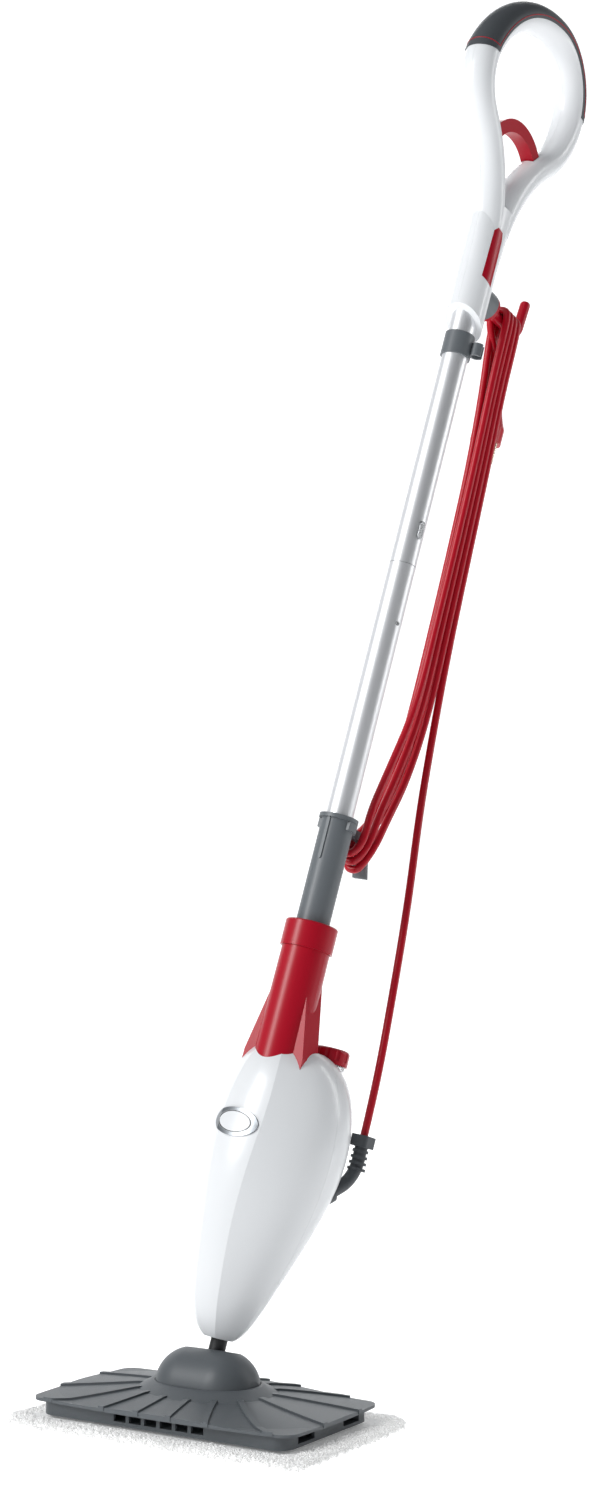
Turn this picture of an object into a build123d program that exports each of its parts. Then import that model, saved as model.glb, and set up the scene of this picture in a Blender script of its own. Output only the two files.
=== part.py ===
"""Steam mop: a swivelling foot, a steam unit, a two-part pole, a ring handle and its mains cord.

Frame: millimetres, +Z up, the floor at Z 0 under the middle of the foot. The badge side of the
mop is its front and looks towards -Y, its left is -X. Everything above the swivel is drawn on
planes taken from the pole's own leaned plane: x to the right, y to the back, height up the pole.
"""
from build123d import *
import math
import os

os.makedirs("parts", exist_ok=True)

# ---------------------------------------------------------------- driving dimensions
running_gap = 0.3          # between pieces that move past each other
seat_gap = 0.05            # round a piece that is pushed into its seat
pin_gap = 0.06             # round a hinge pin

# the pad and the foot
pad_width = 266.0
pad_depth = 162.0
pad_thickness = 9.0
pad_corner = 16.0
foot_gap = 0.3             # between the pad and the foot that presses on it
tray_width = 222.0
tray_depth = 118.0
tray_height = 10.5
tray_wall = 2.5
tray_floor = 3.0           # the steam plate of the foot, die cast with its tray
foot_shift = -3.0          # the plate sits a little forward of the pad's middle
plate_width = 240.0
plate_depth = 134.0
plate_bow = 5.0            # how far the long edges bulge
plate_side_bow = 3.0
plate_corner = 12.0
plate_rim = 2.2
plate_wall = 3.2
hump_width = 118.0         # the smooth middle that the ribs run up to
hump_depth = 90.0
hump_z = 29.0
hump_rise = 6.0
slope_width = 258.0        # the cone of the plate's top, where it meets the rim's height
slope_depth = 160.0
rib_count = 16
rib_width = 4.6
rib_height = 1.5
rib_bend = 5.0
rib_reach = 0.62
rib_overhang = 0.6
screw_radius = 2.0
screw_head = 3.6

# the swivel
pivot_y = 2.0
pivot_z = 31.0
lean_back = 15.0
lean_side = 7.2
barrel_length = 86.0
barrel_radius = 28.0
barrel_wall = 3.0
barrel_straight = 14.0     # half of its length between the rounded ends
barrel_gap = 0.5
slot_half = 24.0
slot_width = 17.0
barrel_front_edge = 124.0  # how far the barrel's shell reaches down in front and behind, from its top
barrel_back_edge = 64.0
trunnion_radius = 3.0
trunnion_length = 17.0
side_pin_radius = 3.0
neck_radius = 6.5
knuckle_radius = 11.0
knuckle_width = 20.0

# the steam unit's casing, by its height up the pole
pole_offset = 15.0         # the pole stands this far in front of the swivel
body_top = 262.0
body_wall = 2.5
body_split = 19.0          # where the front shell meets the rear shell
unit_seam = 0.1            # half the line between the two shells
# height, half width, half depth, middle, half width of the front panel
body_sections = (
    (36.0, 11.0, 11.6, 11.4, 5.0),
    (43.0, 18.4, 17.6, 9.6, 8.0),
    (56.0, 25.6, 23.6, 8.2, 10.0),
    (80.0, 34.2, 31.0, 8.6, 11.5),
    (126.0, 47.6, 42.6, 12.6, 13.5),
    (176.0, 56.2, 50.4, 17.2, 17.5),
    (214.0, 54.2, 48.6, 19.2, 18.5),
    (240.0, 46.4, 42.0, 18.6, 15.5),
    (254.0, 37.4, 34.0, 16.8, 12.0),
    (262.0, 25.4, 22.8, 15.2, 8.0),
)
panel_bulge = 2.2          # how far the front panel stands proud of its two creases
badge_width = 42.0
badge_height = 22.0
badge_at = 195.0
badge_x = -4.0            # the badge sits a little to the left of the panel's middle
badge_proud = 1.3
badge_rim = 2.6

# the red socket, its collar and the grey sleeve
socket_low = 238.0
socket_radius = 20.0
socket_top_radius = 19.0
collar_low = 338.0
collar_top = 359.0
collar_radius = 20.9
wing_half = 27.5
wing_top = 316.0
wing_front = -9.0
wing_back = 13.0
sleeve_radius = 13.4
sleeve_low = 300.0
sleeve_top = 447.0
flange_radius = 15.8
flange_height = 3.2
key_rib_width = 2.6
key_rib_length = 34.0

# the pole
tube_radius = 11.0
tube_wall = 1.0
tube_low = 306.0
seam_at = 662.0
joiner_low = 596.0
joiner_top = 714.0
joiner_bore = 7.0
side_angle = 15.0          # the screw and the button sit this far forward of the pole's right side
tube_screw_at = 611.0
button_at = 692.0
button_length = 15.0
button_width = 5.0
button_proud = 1.4
button_travel = 2.6
clip_height = 20.0
clip_wall = 1.6
clip_angle = 20.0          # the cord clip sits this far behind the pole's right side
wire_radius = 2.0

# the ring handle
palm_height = 984.0        # the top of the palm; the whole handle moves with it
shaft_radius = 16.5
shaft_blend = palm_height - 54.0
cut_front = palm_height - 94.0   # the shaft's slanted lower edge, front and back
cut_back = palm_height - 115.5
tube_top = palm_height - 40.0
clip_low = cut_back - 21.0       # the cord clip sits just below the shaft
limb_half_width = 15.0
limb_half_depth = 12.5
handle_wall = 2.0
grip_proud = 0.8
trigger_width = 12.0
trigger_depth = 11.0
trigger_travel = 4.0       # degrees
trigger_pin_radius = 2.0
insert_depth = 1.2

# the cord and its hooks
cord_radius = 3.2
hook_at = palm_height - 76.0     # height of the upper hook's arm
hook_base_radius = 12.5
hook_base_back = 26.5
hook_plate = 4.2
arm_radius = 4.5
arm_back = 83.0
hook_tip_back = 86.5
hook_tip_at = hook_at + 35.0
spigot_radius = 4.0
low_arm_at = sleeve_top - 7.0    # height of the lower hook's arm
low_arm_height = 7.0
tongue_back = 47.0
tongue_width = 13.0
tongue_wall = 3.0
tongue_low = low_arm_at - 30.0
tongue_bend = 12.0         # the tongue flares over its last part

# ---------------------------------------------------------------- lesser dimensions
screw_reach_x = 66.0
screw_inset = 8.5          # from the tray's long edges, outside the hook strips
screw_reach_y = tray_depth / 2 - screw_inset
screw_head_height = 1.6
screw_length = 13.2
pivot_bed = 34.0            # the pin holes start inside the barrel's bed
barrel_end = 1.2           # the barrel's tips are cut flat
boss_low = 27.0
boss_length = 12.5
boss_radius = 8.0
cheek_radius = 8.0
cheek_wall = 3.6
cheek_height = 21.0
crease_turn = 0.42         # how sharply the casing turns at its creases
wing_base = 253.0
wing_tip = 14.0
socket_top = 352.0
socket_floor = 3.0
socket_bore = 15.5
collar_grip = 0.35
key_rib_proud = 1.0
filler_x = 22.0
filler_y = 38.0
filler_low = 222.0
filler_radius = 11.0
filler_flange_low = 254.0
filler_flange = 12.6
filler_flange_height = 3.4
filler_spigot = 9.4
filler_spigot_height = 8.0
filler_wall = 1.6
cap_radius = 14.2
cap_height = 12.5
cap_round = 3.4
cap_skirt = 3.4
cap_grips = 10
cap_notch = 2.6
thread_gap = 0.08
tank_low = 164.0
tank_wall = 1.8
tank_y = 22.0
tank_half_width = 43.5
tank_half_depth = 36.0
boiler_y = 11.0
boiler_low_radius = 15.0
boiler_top_radius = 30.0
boiler_dome = 3.0
boiler_dome_height = 8.0
boiler_height = 46.0
pump_x = -17.0
pump_y = 15.0
pump_width = 30.0
pump_foot = 8.0
thermostat_at = (14.0, 19.0)
thermostat_radius = 8.0
thermostat_height = 7.0
tab_pitch = 7.0
tab_height = 6.0
seam_gap = 0.4
tube_screw_radius = 1.9
button_flange = 1.4
leaf_wall = 0.6
leaf_width = 4.6
leaf_low = 652.0
leaf_sink = 1.0
wire_x = -3.6               # the lead lies beside the button's spring
clip_outer = 5.4
clip_bore = 3.6
clip_mouth = 5.0
lead_low = 224.0
lead_top = palm_height - 22.0
relief_foot = 7.6
relief_radius = 5.2
relief_ribs = 4
relief_rib_low = 183.6
relief_rib_pitch = 4.7
relief_rib_wall = 2.2
relief_foot_height = 8.5
relief_block = 9.0
shaft_grip = 12.0
palm_y = 3.0
palm_half_width = 15.6
palm_half_depth = 21.5
trigger_gap = 0.6
trigger_pin_half = 13.6
switch_at = (-19.4, palm_height + 27.6)
switch_slant = (-0.476, 0.879)
switch_length = 14.0
switch_width = 12.0
switch_depth = 10.0
switch_stud = 1.5
switch_stud_half = 12.45
plunger_radius = 1.8
plunger_height = 6.2
spring_wire = 0.9
spring_pitch = 2.65
spring_height = 10.6
spring_radius = 3.2
hook_bend = 11.0
low_arm_width = 8.0
tongue_flare = 5.0
hank_half = 11.2
hank_waist = 6.6
hank_high = 919.4
hank_bottom = 413.0
hank_waist_top = 860.0
hank_waist_low = 510.0
hank_slot_low = 884.0
hank_slot_top = 468.0
plug_radius = 13.5
plug_length = 40.0
plug_neck = 6.0
plug_waist = 9.0
plug_waist_at = 14.0
plug_shoulder = 26.0
plug_pin_sink = 6.0
plug_pin_length = 19.0
plug_pin_radius = 2.4
plug_pitch = 19.0

# middle lines and outlines in the plane through the pole's axis: back, then height up the pole
# the ring: where its middle line leaves the palm, and the radius and turn of each of its arcs
ring_start = (-2.9, palm_height - 22.0)
ring_heading = 98.3
ring_arcs = ((127.9, 44.1), (48.6, -72.0), (103.7, -66.3), (53.8, -96.8), (82.8, -43.0), (161.7, 36.8))
ring_top = 3               # the front limb is the first three arcs
insert_points = tuple((across, palm_height - below) for across, below in (
    (-9.0, 24.0), (-5.5, 20.0), (0.5, 22.0), (2.0, 29.0), (1.4, 72.0), (-10.2, 66.5)))
grip_inset = 1.5           # the grip covers the outer half of the ring down to this line
grip_front = palm_height + 107.0
grip_rear = palm_height + 134.0
grip_far = 160.0
trigger_pin_at = (46.0, palm_height + 62.0)
trigger_points = ((-31.0, palm_height + 49.0), (10.0, palm_height + 79.7), trigger_pin_at)
hank_front = ((46.8, 921.0), (49.8, 870.0), (58.8, 781.0), (60.0, 640.0), (60.3, 550.0), (46.0, 498.0),
              (24.0, 455.0), (17.0, 436.0))
hank_front_foot = (17.0, 411.0)
hank_rear_foot = (43.4, 411.0)
hank_rear = ((43.4, 445.0), (62.0, 470.0), (84.0, 505.0), (96.5, 550.0), (93.2, 640.0), (85.2, 781.0),
             (75.2, 870.0), (73.2, 921.0))

# routes in the pole's frame: right, back, height up the pole
relief_points = ((43.0, 41.0, 157.0), (52.0, 65.0, 177.0), (52.0, 65.0, 211.0))
cord_points = ((52.0, 65.0, 211.0), (52.0, 65.0, 252.0), (45.5, 68.0, 322.0), (36.0, 73.0, 400.0),
               (21.0, 82.0, 475.0), (4.5, 88.0, 536.0))
tail_points = ((-4.5, 66.0, 882.0), (-9.5, 84.0, 890.0), (-13.0, 98.0, 876.0), (-13.5, 98.5, 856.0))

# ---------------------------------------------------------------- planes
back = math.radians(lean_back)
side = math.radians(lean_side)
barrel_up = Vector(0, math.sin(back), math.cos(back))
barrel_back = Vector(0, math.cos(back), -math.sin(back))
pole_up = Vector(1, 0, 0) * math.sin(side) + barrel_up * math.cos(side)
pole_right = Vector(1, 0, 0) * math.cos(side) - barrel_up * math.sin(side)
pivot = Vector(0, pivot_y, pivot_z)

pole = Plane(origin=pivot - barrel_back * pole_offset, x_dir=pole_right, z_dir=pole_up)
# a plane through the pole's axis that looks from the right: x is back, y is up the pole
profile = Plane(origin=pole.origin, x_dir=pole.y_dir, z_dir=pole.x_dir)
# a plane through the pole's axis that looks to the front: x is right, y is up the pole
front = Plane(origin=pole.origin, x_dir=pole.x_dir, z_dir=pole.y_dir * -1)
barrel = Plane(origin=pivot, x_dir=(1, 0, 0), z_dir=barrel_up)
# looks to the right through the pivot: x is the barrel's back, y its top
barrel_side = Plane(origin=pivot, x_dir=barrel_back, z_dir=(1, 0, 0))


relief_root = pole.from_local_coords(Vector(*relief_points[0]))
relief_out = (pole.from_local_coords(Vector(*relief_points[1])) - relief_root).normalized()


def level(height, x=0.0, y=0.0):
    """The plane square to the pole at a height, moved right by x and back by y."""
    return Plane(origin=pole.from_local_coords(Vector(x, y, height)), x_dir=pole.x_dir, z_dir=pole.z_dir)


def facing_back(y, height, x=0.0):
    """A plane that looks straight back, with x to the left and y up the pole."""
    origin = pole.from_local_coords(Vector(x, y, height))
    return Plane(origin=origin, x_dir=pole.x_dir * -1, z_dir=pole.y_dir)


def facing_side(angle, height):
    """A plane through the pole's axis that looks out at an angle behind the pole's right side."""
    turn = math.radians(angle)
    out = pole.x_dir * math.cos(turn) + pole.y_dir * math.sin(turn)
    return Plane(origin=pole.from_local_coords(Vector(0, 0, height)), x_dir=pole.z_dir, z_dir=out)


def save(piece, name):
    """Names a finished piece and writes it."""
    piece.part.label = name
    export_step(piece.part, "parts/" + name + ".step")


# ---------------------------------------------------------------- the foot
with BuildPart() as microfibre_pad:
    with BuildSketch():
        RectangleRounded(pad_width, pad_depth, pad_corner)
    extrude(amount=pad_thickness)
    fillet(microfibre_pad.faces().sort_by(Axis.Z)[-1].edges(), 3.0)
save(microfibre_pad, "microfibre_pad")

tray_z = pad_thickness + foot_gap
plate_z = tray_z + tray_height
cell_count = 6
cell_width = 11.0
cell_pitch = 14.0
cell_height = 6.0
notch_height = 7.5
notch_width = 22.0
notch_pitch = 62.0
strip_depth = 16.0
strip_wall = 1.0
strip_inset = 21.0         # the middle of each hook strip, from the tray's long edge
strip_end = 24.0
strip_play = 0.5
tray_rib_at = (-84.0, -56.0, 56.0, 84.0)
tray_rib_inset = 16.0
head_wall = 1.6
head_sink = 0.2
nozzle_radius = 9.0
nozzle_lift = 0.2
nozzle_stub = 6.0
nozzle_bore = 2.0


def foot_plane(z):
    """The level plane at a height over the middle of the foot."""
    return Plane((0, foot_shift, z))


with BuildPart() as base_tray:
    with BuildSketch(foot_plane(tray_z)):
        RectangleRounded(tray_width, tray_depth, plate_corner)
    extrude(amount=tray_height)
    with BuildSketch(foot_plane(tray_z + tray_floor)):
        RectangleRounded(tray_width - 2 * tray_wall, tray_depth - 2 * tray_wall, plate_corner - tray_wall)
    extrude(amount=tray_height, mode=Mode.SUBTRACT)
    # stiffening ribs behind the front cells and across the tray
    with BuildSketch(foot_plane(tray_z + tray_floor)):
        for offset_x in tray_rib_at:
            with Locations((offset_x, 0)):
                Rectangle(tray_wall, tray_depth - tray_wall)
        for offset_y in (-1, 1):
            with Locations((0, offset_y * (tray_depth / 2 - tray_rib_inset))):
                Rectangle(tray_width - tray_wall, 2.0)
    extrude(amount=tray_height - tray_floor)
    # the open cells along the front edge
    with BuildSketch(Plane(origin=(0, foot_shift - tray_depth / 2 - 1, tray_z + tray_height / 2 + 0.8),
                           x_dir=(1, 0, 0), z_dir=(0, 1, 0))):
        with GridLocations(cell_pitch, 1, cell_count, 1):
            Rectangle(cell_width, cell_height)
    extrude(amount=tray_wall + 2, mode=Mode.SUBTRACT)
    # two open notches at each end
    with BuildSketch(Plane(origin=(-tray_width / 2 - 1, foot_shift, tray_z + tray_height / 2 + 1.0),
                           x_dir=(0, 1, 0), z_dir=(1, 0, 0))):
        with GridLocations(notch_pitch, 1, 2, 1):
            Rectangle(notch_width, notch_height)
    extrude(amount=tray_width + 2, mode=Mode.SUBTRACT)
    # recesses for the hook strips, and the steam hole
    with BuildSketch(foot_plane(tray_z)):
        with GridLocations(1, tray_depth - 2 * strip_inset, 1, 2):
            Rectangle(tray_width - 2 * strip_end, strip_depth)
    extrude(amount=strip_wall, mode=Mode.SUBTRACT)
    with BuildSketch(Plane((0, pivot_y, tray_z))):
        Circle(nozzle_radius + seat_gap)
    extrude(amount=tray_height, mode=Mode.SUBTRACT)
    # a sunk boss for each screw
    with BuildSketch(foot_plane(tray_z)):
        with GridLocations(2 * screw_reach_x, 2 * screw_reach_y, 2, 2):
            Circle(screw_head + head_wall)
    extrude(amount=tray_height)
    with BuildSketch(foot_plane(tray_z)):
        with GridLocations(2 * screw_reach_x, 2 * screw_reach_y, 2, 2):
            Circle(screw_head + seat_gap)
    extrude(amount=screw_head_height + head_sink, mode=Mode.SUBTRACT)
    with BuildSketch(foot_plane(tray_z)):
        with GridLocations(2 * screw_reach_x, 2 * screw_reach_y, 2, 2):
            Circle(screw_radius + seat_gap)
    extrude(amount=tray_height, mode=Mode.SUBTRACT)
save(base_tray, "base_tray")

with BuildPart() as hook_strips:
    with BuildSketch(foot_plane(tray_z + 0.1)):
        with GridLocations(1, tray_depth - 2 * strip_inset, 1, 2):
            RectangleRounded(tray_width - 2 * (strip_end + strip_play), strip_depth - 2 * strip_play, 2.0)
    extrude(amount=strip_wall - 0.1)
save(hook_strips, "hook_strips")

# the nozzle stands in the tray, below the swing of the cheeks, and carries the steam down to the pad
cheek_swing = math.hypot(knuckle_width / 2 + running_gap + cheek_wall, cheek_radius)
nozzle_height = pivot_z - cheek_swing - 2 * running_gap - tray_z - nozzle_lift
with BuildPart() as steam_nozzle:
    with BuildSketch(Plane((0, pivot_y, tray_z + nozzle_lift))):
        Circle(nozzle_radius)
        Circle(nozzle_bore, mode=Mode.SUBTRACT)
    extrude(amount=tray_floor)
    with BuildSketch(Plane((0, pivot_y, tray_z + nozzle_lift))):
        Circle(nozzle_stub)
        Circle(nozzle_bore, mode=Mode.SUBTRACT)
    extrude(amount=nozzle_height)
save(steam_nozzle, "steam_nozzle")


cradle_width = barrel_length / 2 + 3.2
cradle_depth = barrel_radius + 3.6
cradle_top = hump_z + hump_rise
slope_z = plate_z + plate_rim
pin_reach = barrel_length / 2 + 3.5


def plate_outline(grow):
    """The foot plate's outline: four bowed edges with rounded corners."""
    x = plate_width / 2 - plate_side_bow + grow
    y = plate_depth / 2 - plate_bow + grow
    with BuildSketch(mode=Mode.PRIVATE) as outline:
        with BuildLine():
            ThreePointArc((-x, -y), (0, -y - plate_bow), (x, -y))
            ThreePointArc((x, -y), (x + plate_side_bow, 0), (x, y))
            ThreePointArc((x, y), (0, y + plate_bow), (-x, y))
            ThreePointArc((-x, y), (-x - plate_side_bow, 0), (-x, -y))
        make_face()
        fillet(outline.vertices(), plate_corner + grow)
    return outline.sketch


def plate_form(grow, lift):
    """The plate's shallow elliptic cone inside its outline, grown sideways and lifted."""
    with BuildPart(mode=Mode.PRIVATE) as form:
        with BuildSketch(Plane((0, pivot_y, slope_z + lift))):
            Ellipse(slope_width / 2, slope_depth / 2)
        with BuildSketch(Plane((0, pivot_y, hump_z + lift))):
            Ellipse(hump_width / 2, hump_depth / 2)
        loft(ruled=True)
        with BuildSketch(foot_plane(0)):
            add(plate_outline(grow))
        extrude(amount=2 * hump_z, mode=Mode.INTERSECT)
    return form.part


def barrel_form(grow):
    """The barrel's rounded form about the fore-and-aft axis, grown by a gap."""
    with BuildPart(mode=Mode.PRIVATE) as form:
        with BuildSketch(Plane(pivot, x_dir=(1, 0, 0), z_dir=(0, -1, 0))):
            Rectangle(2 * barrel_straight, 2 * (barrel_radius + grow))
            with Locations((-barrel_straight, 0), (barrel_straight, 0)):
                Ellipse(barrel_length / 2 - barrel_straight + grow, barrel_radius + grow)
            with Locations((0, barrel_radius)):
                Rectangle(barrel_length + 2 * grow - 2 * barrel_end, barrel_radius * 2, mode=Mode.INTERSECT)
        revolve(axis=Axis(pivot, (1, 0, 0)))
    return form.part


def rib_path(index):
    """One curved rib of the plate, from the hump out past the rim."""
    turn = math.radians((index + 0.5) * 360 / rib_count)
    bend = rib_bend * math.sin(2 * turn)
    start = Vector(0.46 * hump_width * math.cos(turn), 0.46 * hump_depth * math.sin(turn))
    end = Vector(rib_reach * plate_width * math.cos(turn), rib_reach * plate_width * math.sin(turn))
    middle = (start + end) * 0.5 + Vector(-math.sin(turn), math.cos(turn)) * bend
    return start, middle, end


with BuildPart() as rib_skin:
    add(plate_form(rib_overhang, rib_height))
    with BuildSketch(foot_plane(plate_z)):
        add(plate_outline(rib_overhang))
    extrude(amount=plate_rim + rib_height)

with BuildPart() as plate_ribs:
    with BuildSketch(Plane((0, pivot_y, plate_z + rib_overhang))):
        for index in range(rib_count):
            with BuildLine():
                ThreePointArc(*rib_path(index))
            trace(line_width=rib_width)
        Ellipse(hump_width / 2 - 5.0, hump_depth / 2 - 5.0, mode=Mode.SUBTRACT)
    extrude(amount=hump_z)
    add(rib_skin.part, mode=Mode.INTERSECT)

with BuildPart() as foot_cover:
    with BuildSketch(foot_plane(plate_z)):
        add(plate_outline(0))
    extrude(amount=plate_rim)
    add(plate_form(0, 0))
    # the smooth flare round the swivel
    with BuildSketch(Plane((0, pivot_y, hump_z - 1.0))):
        Ellipse(hump_width / 2, hump_depth / 2)
    with BuildSketch(Plane((0, pivot_y, cradle_top))):
        Ellipse(cradle_width, cradle_depth)
    loft(ruled=True)
    add(plate_ribs.part)
    # hollow below
    add(plate_form(-plate_wall, -plate_rim), mode=Mode.SUBTRACT)
    # the round bed of the barrel, and the holes of its two pins
    add(barrel_form(barrel_gap), mode=Mode.SUBTRACT)
    with BuildSketch(barrel_side.offset(pivot_bed), barrel_side.offset(-pin_reach)):
        Circle(trunnion_radius)
    extrude(amount=pin_reach - pivot_bed, mode=Mode.SUBTRACT)
    # the posts that take the screws
    with BuildSketch(foot_plane(plate_z)):
        with GridLocations(2 * screw_reach_x, 2 * screw_reach_y, 2, 2):
            Circle(screw_head + 1.0)
    extrude(until=Until.NEXT)
    with BuildSketch(foot_plane(plate_z)):
        with GridLocations(2 * screw_reach_x, 2 * screw_reach_y, 2, 2):
            Circle(screw_radius)
    extrude(amount=screw_length - tray_height + 0.5, mode=Mode.SUBTRACT)
save(foot_cover, "foot_cover")

with BuildPart() as foot_screws:
    with BuildSketch(foot_plane(tray_z + head_sink)):
        with GridLocations(2 * screw_reach_x, 2 * screw_reach_y, 2, 2):
            Circle(screw_head)
    extrude(amount=screw_head_height)
    with BuildSketch(foot_plane(tray_z + head_sink)):
        with GridLocations(2 * screw_reach_x, 2 * screw_reach_y, 2, 2):
            Circle(screw_radius)
    extrude(amount=screw_length)
save(foot_screws, "foot_screws")

# ---------------------------------------------------------------- the swivel
far = 3 * barrel_radius


def from_top(angle):
    """A far point at an angle from the barrel's top, positive to the back."""
    turn = math.radians(angle)
    return far * math.sin(turn), far * math.cos(turn)


front_edge = from_top(-barrel_front_edge)
back_edge = from_top(barrel_back_edge)

with BuildPart() as swivel_barrel:
    add(barrel_form(0))
    add(barrel_form(-barrel_wall), mode=Mode.SUBTRACT)
    # open below, so that its edges stay in the foot at both ends of the tilt
    with BuildSketch(barrel_side.offset(-barrel_length)):
        with BuildLine():
            Polyline((0, 0), front_edge, (front_edge[0], -far), (far, -far), (far, back_edge[1]), back_edge,
                     close=True)
        make_face()
    extrude(amount=2 * barrel_length, mode=Mode.SUBTRACT)
    # a boss for each pin of the fore-and-aft tilt
    with BuildSketch(barrel_side.offset(boss_low), barrel_side.offset(-boss_low - boss_length)):
        Circle(boss_radius)
    extrude(amount=boss_length)
    # the two cheeks that carry the side pin
    with BuildSketch(Plane(pivot, x_dir=(1, 0, 0), z_dir=barrel_back).offset(knuckle_width / 2 + running_gap),
                     Plane(pivot, x_dir=(1, 0, 0), z_dir=barrel_back * -1).offset(knuckle_width / 2 + running_gap)):
        Circle(cheek_radius)
    extrude(amount=cheek_wall)
    with BuildSketch(barrel.offset(0)):
        with GridLocations(1, knuckle_width + 2 * running_gap + cheek_wall, 1, 2):
            Rectangle(2 * cheek_radius, cheek_wall)
    extrude(amount=cheek_height)
    # the slot for the neck, and the pin holes
    with BuildSketch(barrel.offset(knuckle_radius)):
        SlotOverall(2 * slot_half, slot_width)
    extrude(amount=barrel_radius, mode=Mode.SUBTRACT)
    with BuildSketch(barrel_side.offset(-barrel_length)):
        Circle(trunnion_radius + pin_gap)
    extrude(amount=2 * barrel_length, mode=Mode.SUBTRACT)
    with BuildSketch(Plane(pivot, x_dir=(1, 0, 0), z_dir=barrel_back).offset(-knuckle_width)):
        Circle(side_pin_radius)
    extrude(amount=2 * knuckle_width, mode=Mode.SUBTRACT)
save(swivel_barrel, "swivel_barrel")

with BuildPart() as tilt_pins:
    with BuildSketch(barrel_side.offset(pin_reach - trunnion_length), barrel_side.offset(-pin_reach)):
        Circle(trunnion_radius)
    extrude(amount=trunnion_length)
save(tilt_pins, "tilt_pins")

side_pin_half = knuckle_width / 2 + running_gap + cheek_wall
with BuildPart() as side_pin:
    with BuildSketch(Plane(pivot, x_dir=(1, 0, 0), z_dir=barrel_back).offset(-side_pin_half)):
        Circle(side_pin_radius)
    extrude(amount=2 * side_pin_half)
save(side_pin, "side_pin")

neck_top = 60.0
neck_flange_low = 45.0
neck_flange_height = 4.0
neck_flange_radius = 9.5
neck_bore = 2.5

with BuildPart() as neck_stub:
    with BuildSketch(facing_back(pole_offset - knuckle_width / 2, 0)):
        Circle(knuckle_radius)
    extrude(amount=knuckle_width)
    with BuildSketch(level(0, 0, pole_offset)):
        Circle(neck_radius)
    extrude(amount=neck_top)
    with BuildSketch(level(neck_flange_low, 0, pole_offset)):
        Circle(neck_flange_radius)
    extrude(amount=neck_flange_height)
    with BuildSketch(level(knuckle_radius, 0, pole_offset)):
        Circle(neck_bore)
    extrude(amount=neck_top, mode=Mode.SUBTRACT)
    with BuildSketch(facing_back(pole_offset - knuckle_width, 0)):
        Circle(side_pin_radius + pin_gap)
    extrude(amount=2 * knuckle_width, mode=Mode.SUBTRACT)
save(neck_stub, "neck_stub")


# ---------------------------------------------------------------- the steam unit
def body_form(grow):
    """The teardrop casing, grown by a wall: a front panel between two creases, and a round back."""
    with BuildPart(mode=Mode.PRIVATE) as form:
        for index, (height, half_width, half_depth, middle, crease) in enumerate(body_sections):
            if index == 0:
                height -= grow
            if index == len(body_sections) - 1:
                height += grow
            width = half_width + grow
            depth = half_depth + grow
            share = crease / width
            slope = depth / width * share / math.sqrt(1 - share ** 2)
            crease_y = middle - depth * math.sqrt(1 - share ** 2)
            bulge = panel_bulge * crease / body_sections[5][4]
            with BuildSketch(level(height)):
                with BuildLine():
                    ThreePointArc((-crease, crease_y), (0, crease_y - bulge), (crease, crease_y))
                    Spline((crease, crease_y), (width, middle), (0, middle + depth),
                           tangents=[(1, slope + crease_turn), (-1, 0)])
                    Spline((0, middle + depth), (-width, middle), (-crease, crease_y),
                           tangents=[(-1, 0), (1, -slope - crease_turn)])
                make_face()
        loft()
    return form.part


def socket_form(grow):
    """The red socket's outside: a slightly tapered tube with a wing each side."""
    with BuildPart(mode=Mode.PRIVATE) as form:
        with BuildSketch(level(socket_low)):
            Circle(socket_radius + grow)
        with BuildSketch(level(socket_top)):
            Circle(socket_top_radius + grow)
        loft(ruled=True)
        with BuildSketch(front.offset(-wing_back - grow)):
            with BuildLine():
                Polyline((-wing_half - grow, socket_low), (wing_half + grow, socket_low),
                         (wing_half + grow, wing_base), (wing_tip + grow, wing_top), (-wing_tip - grow, wing_top),
                         (-wing_half - grow, wing_base), close=True)
            make_face()
        extrude(amount=wing_back - wing_front + 2 * grow)
        with BuildSketch(level(socket_top)):
            Circle(2 * wing_half)
        extrude(amount=wing_half * 2, mode=Mode.SUBTRACT)
    return form.part


body_outer = body_form(0)
body_inner = body_form(-body_wall)

with BuildPart() as casing:
    add(body_outer)
    add(body_inner, mode=Mode.SUBTRACT)
    add(socket_form(seat_gap), mode=Mode.SUBTRACT)
    with BuildSketch(level(0, 0, pole_offset)):
        Circle(neck_radius + seat_gap)
    extrude(amount=neck_top, mode=Mode.SUBTRACT)
    with BuildSketch(level(filler_low, filler_x, filler_y)):
        Circle(filler_radius + seat_gap)
    extrude(amount=body_top, mode=Mode.SUBTRACT)
    with BuildSketch(level(filler_flange_low - seat_gap, filler_x, filler_y)):
        Circle(filler_flange + seat_gap)
    extrude(amount=body_top, mode=Mode.SUBTRACT)
    with BuildSketch(level(filler_flange_low + filler_flange_height, filler_x, filler_y)):
        Circle(cap_radius + 2 * running_gap)
    extrude(amount=body_top, mode=Mode.SUBTRACT)
    with BuildSketch(Plane(origin=relief_root, z_dir=relief_out)):
        Circle(relief_foot + seat_gap)
    extrude(amount=30.0, both=True, mode=Mode.SUBTRACT)

with BuildPart() as front_shell:
    add(casing.part)
    split(bisect_by=facing_back(body_split - unit_seam, 0), keep=Keep.BOTTOM)
save(front_shell, "front_shell")

with BuildPart() as rear_shell:
    add(casing.part)
    split(bisect_by=facing_back(body_split, 0), keep=Keep.TOP)
save(rear_shell, "rear_shell")

with BuildPart() as oval_badge:
    with BuildSketch(front.offset(body_split)):
        with Locations((badge_x, badge_at)):
            Ellipse(badge_width / 2, badge_height / 2)
    extrude(amount=3 * badge_width)
    add(body_form(badge_proud), mode=Mode.INTERSECT)
    add(body_outer, mode=Mode.SUBTRACT)
save(oval_badge, "oval_badge")

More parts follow.
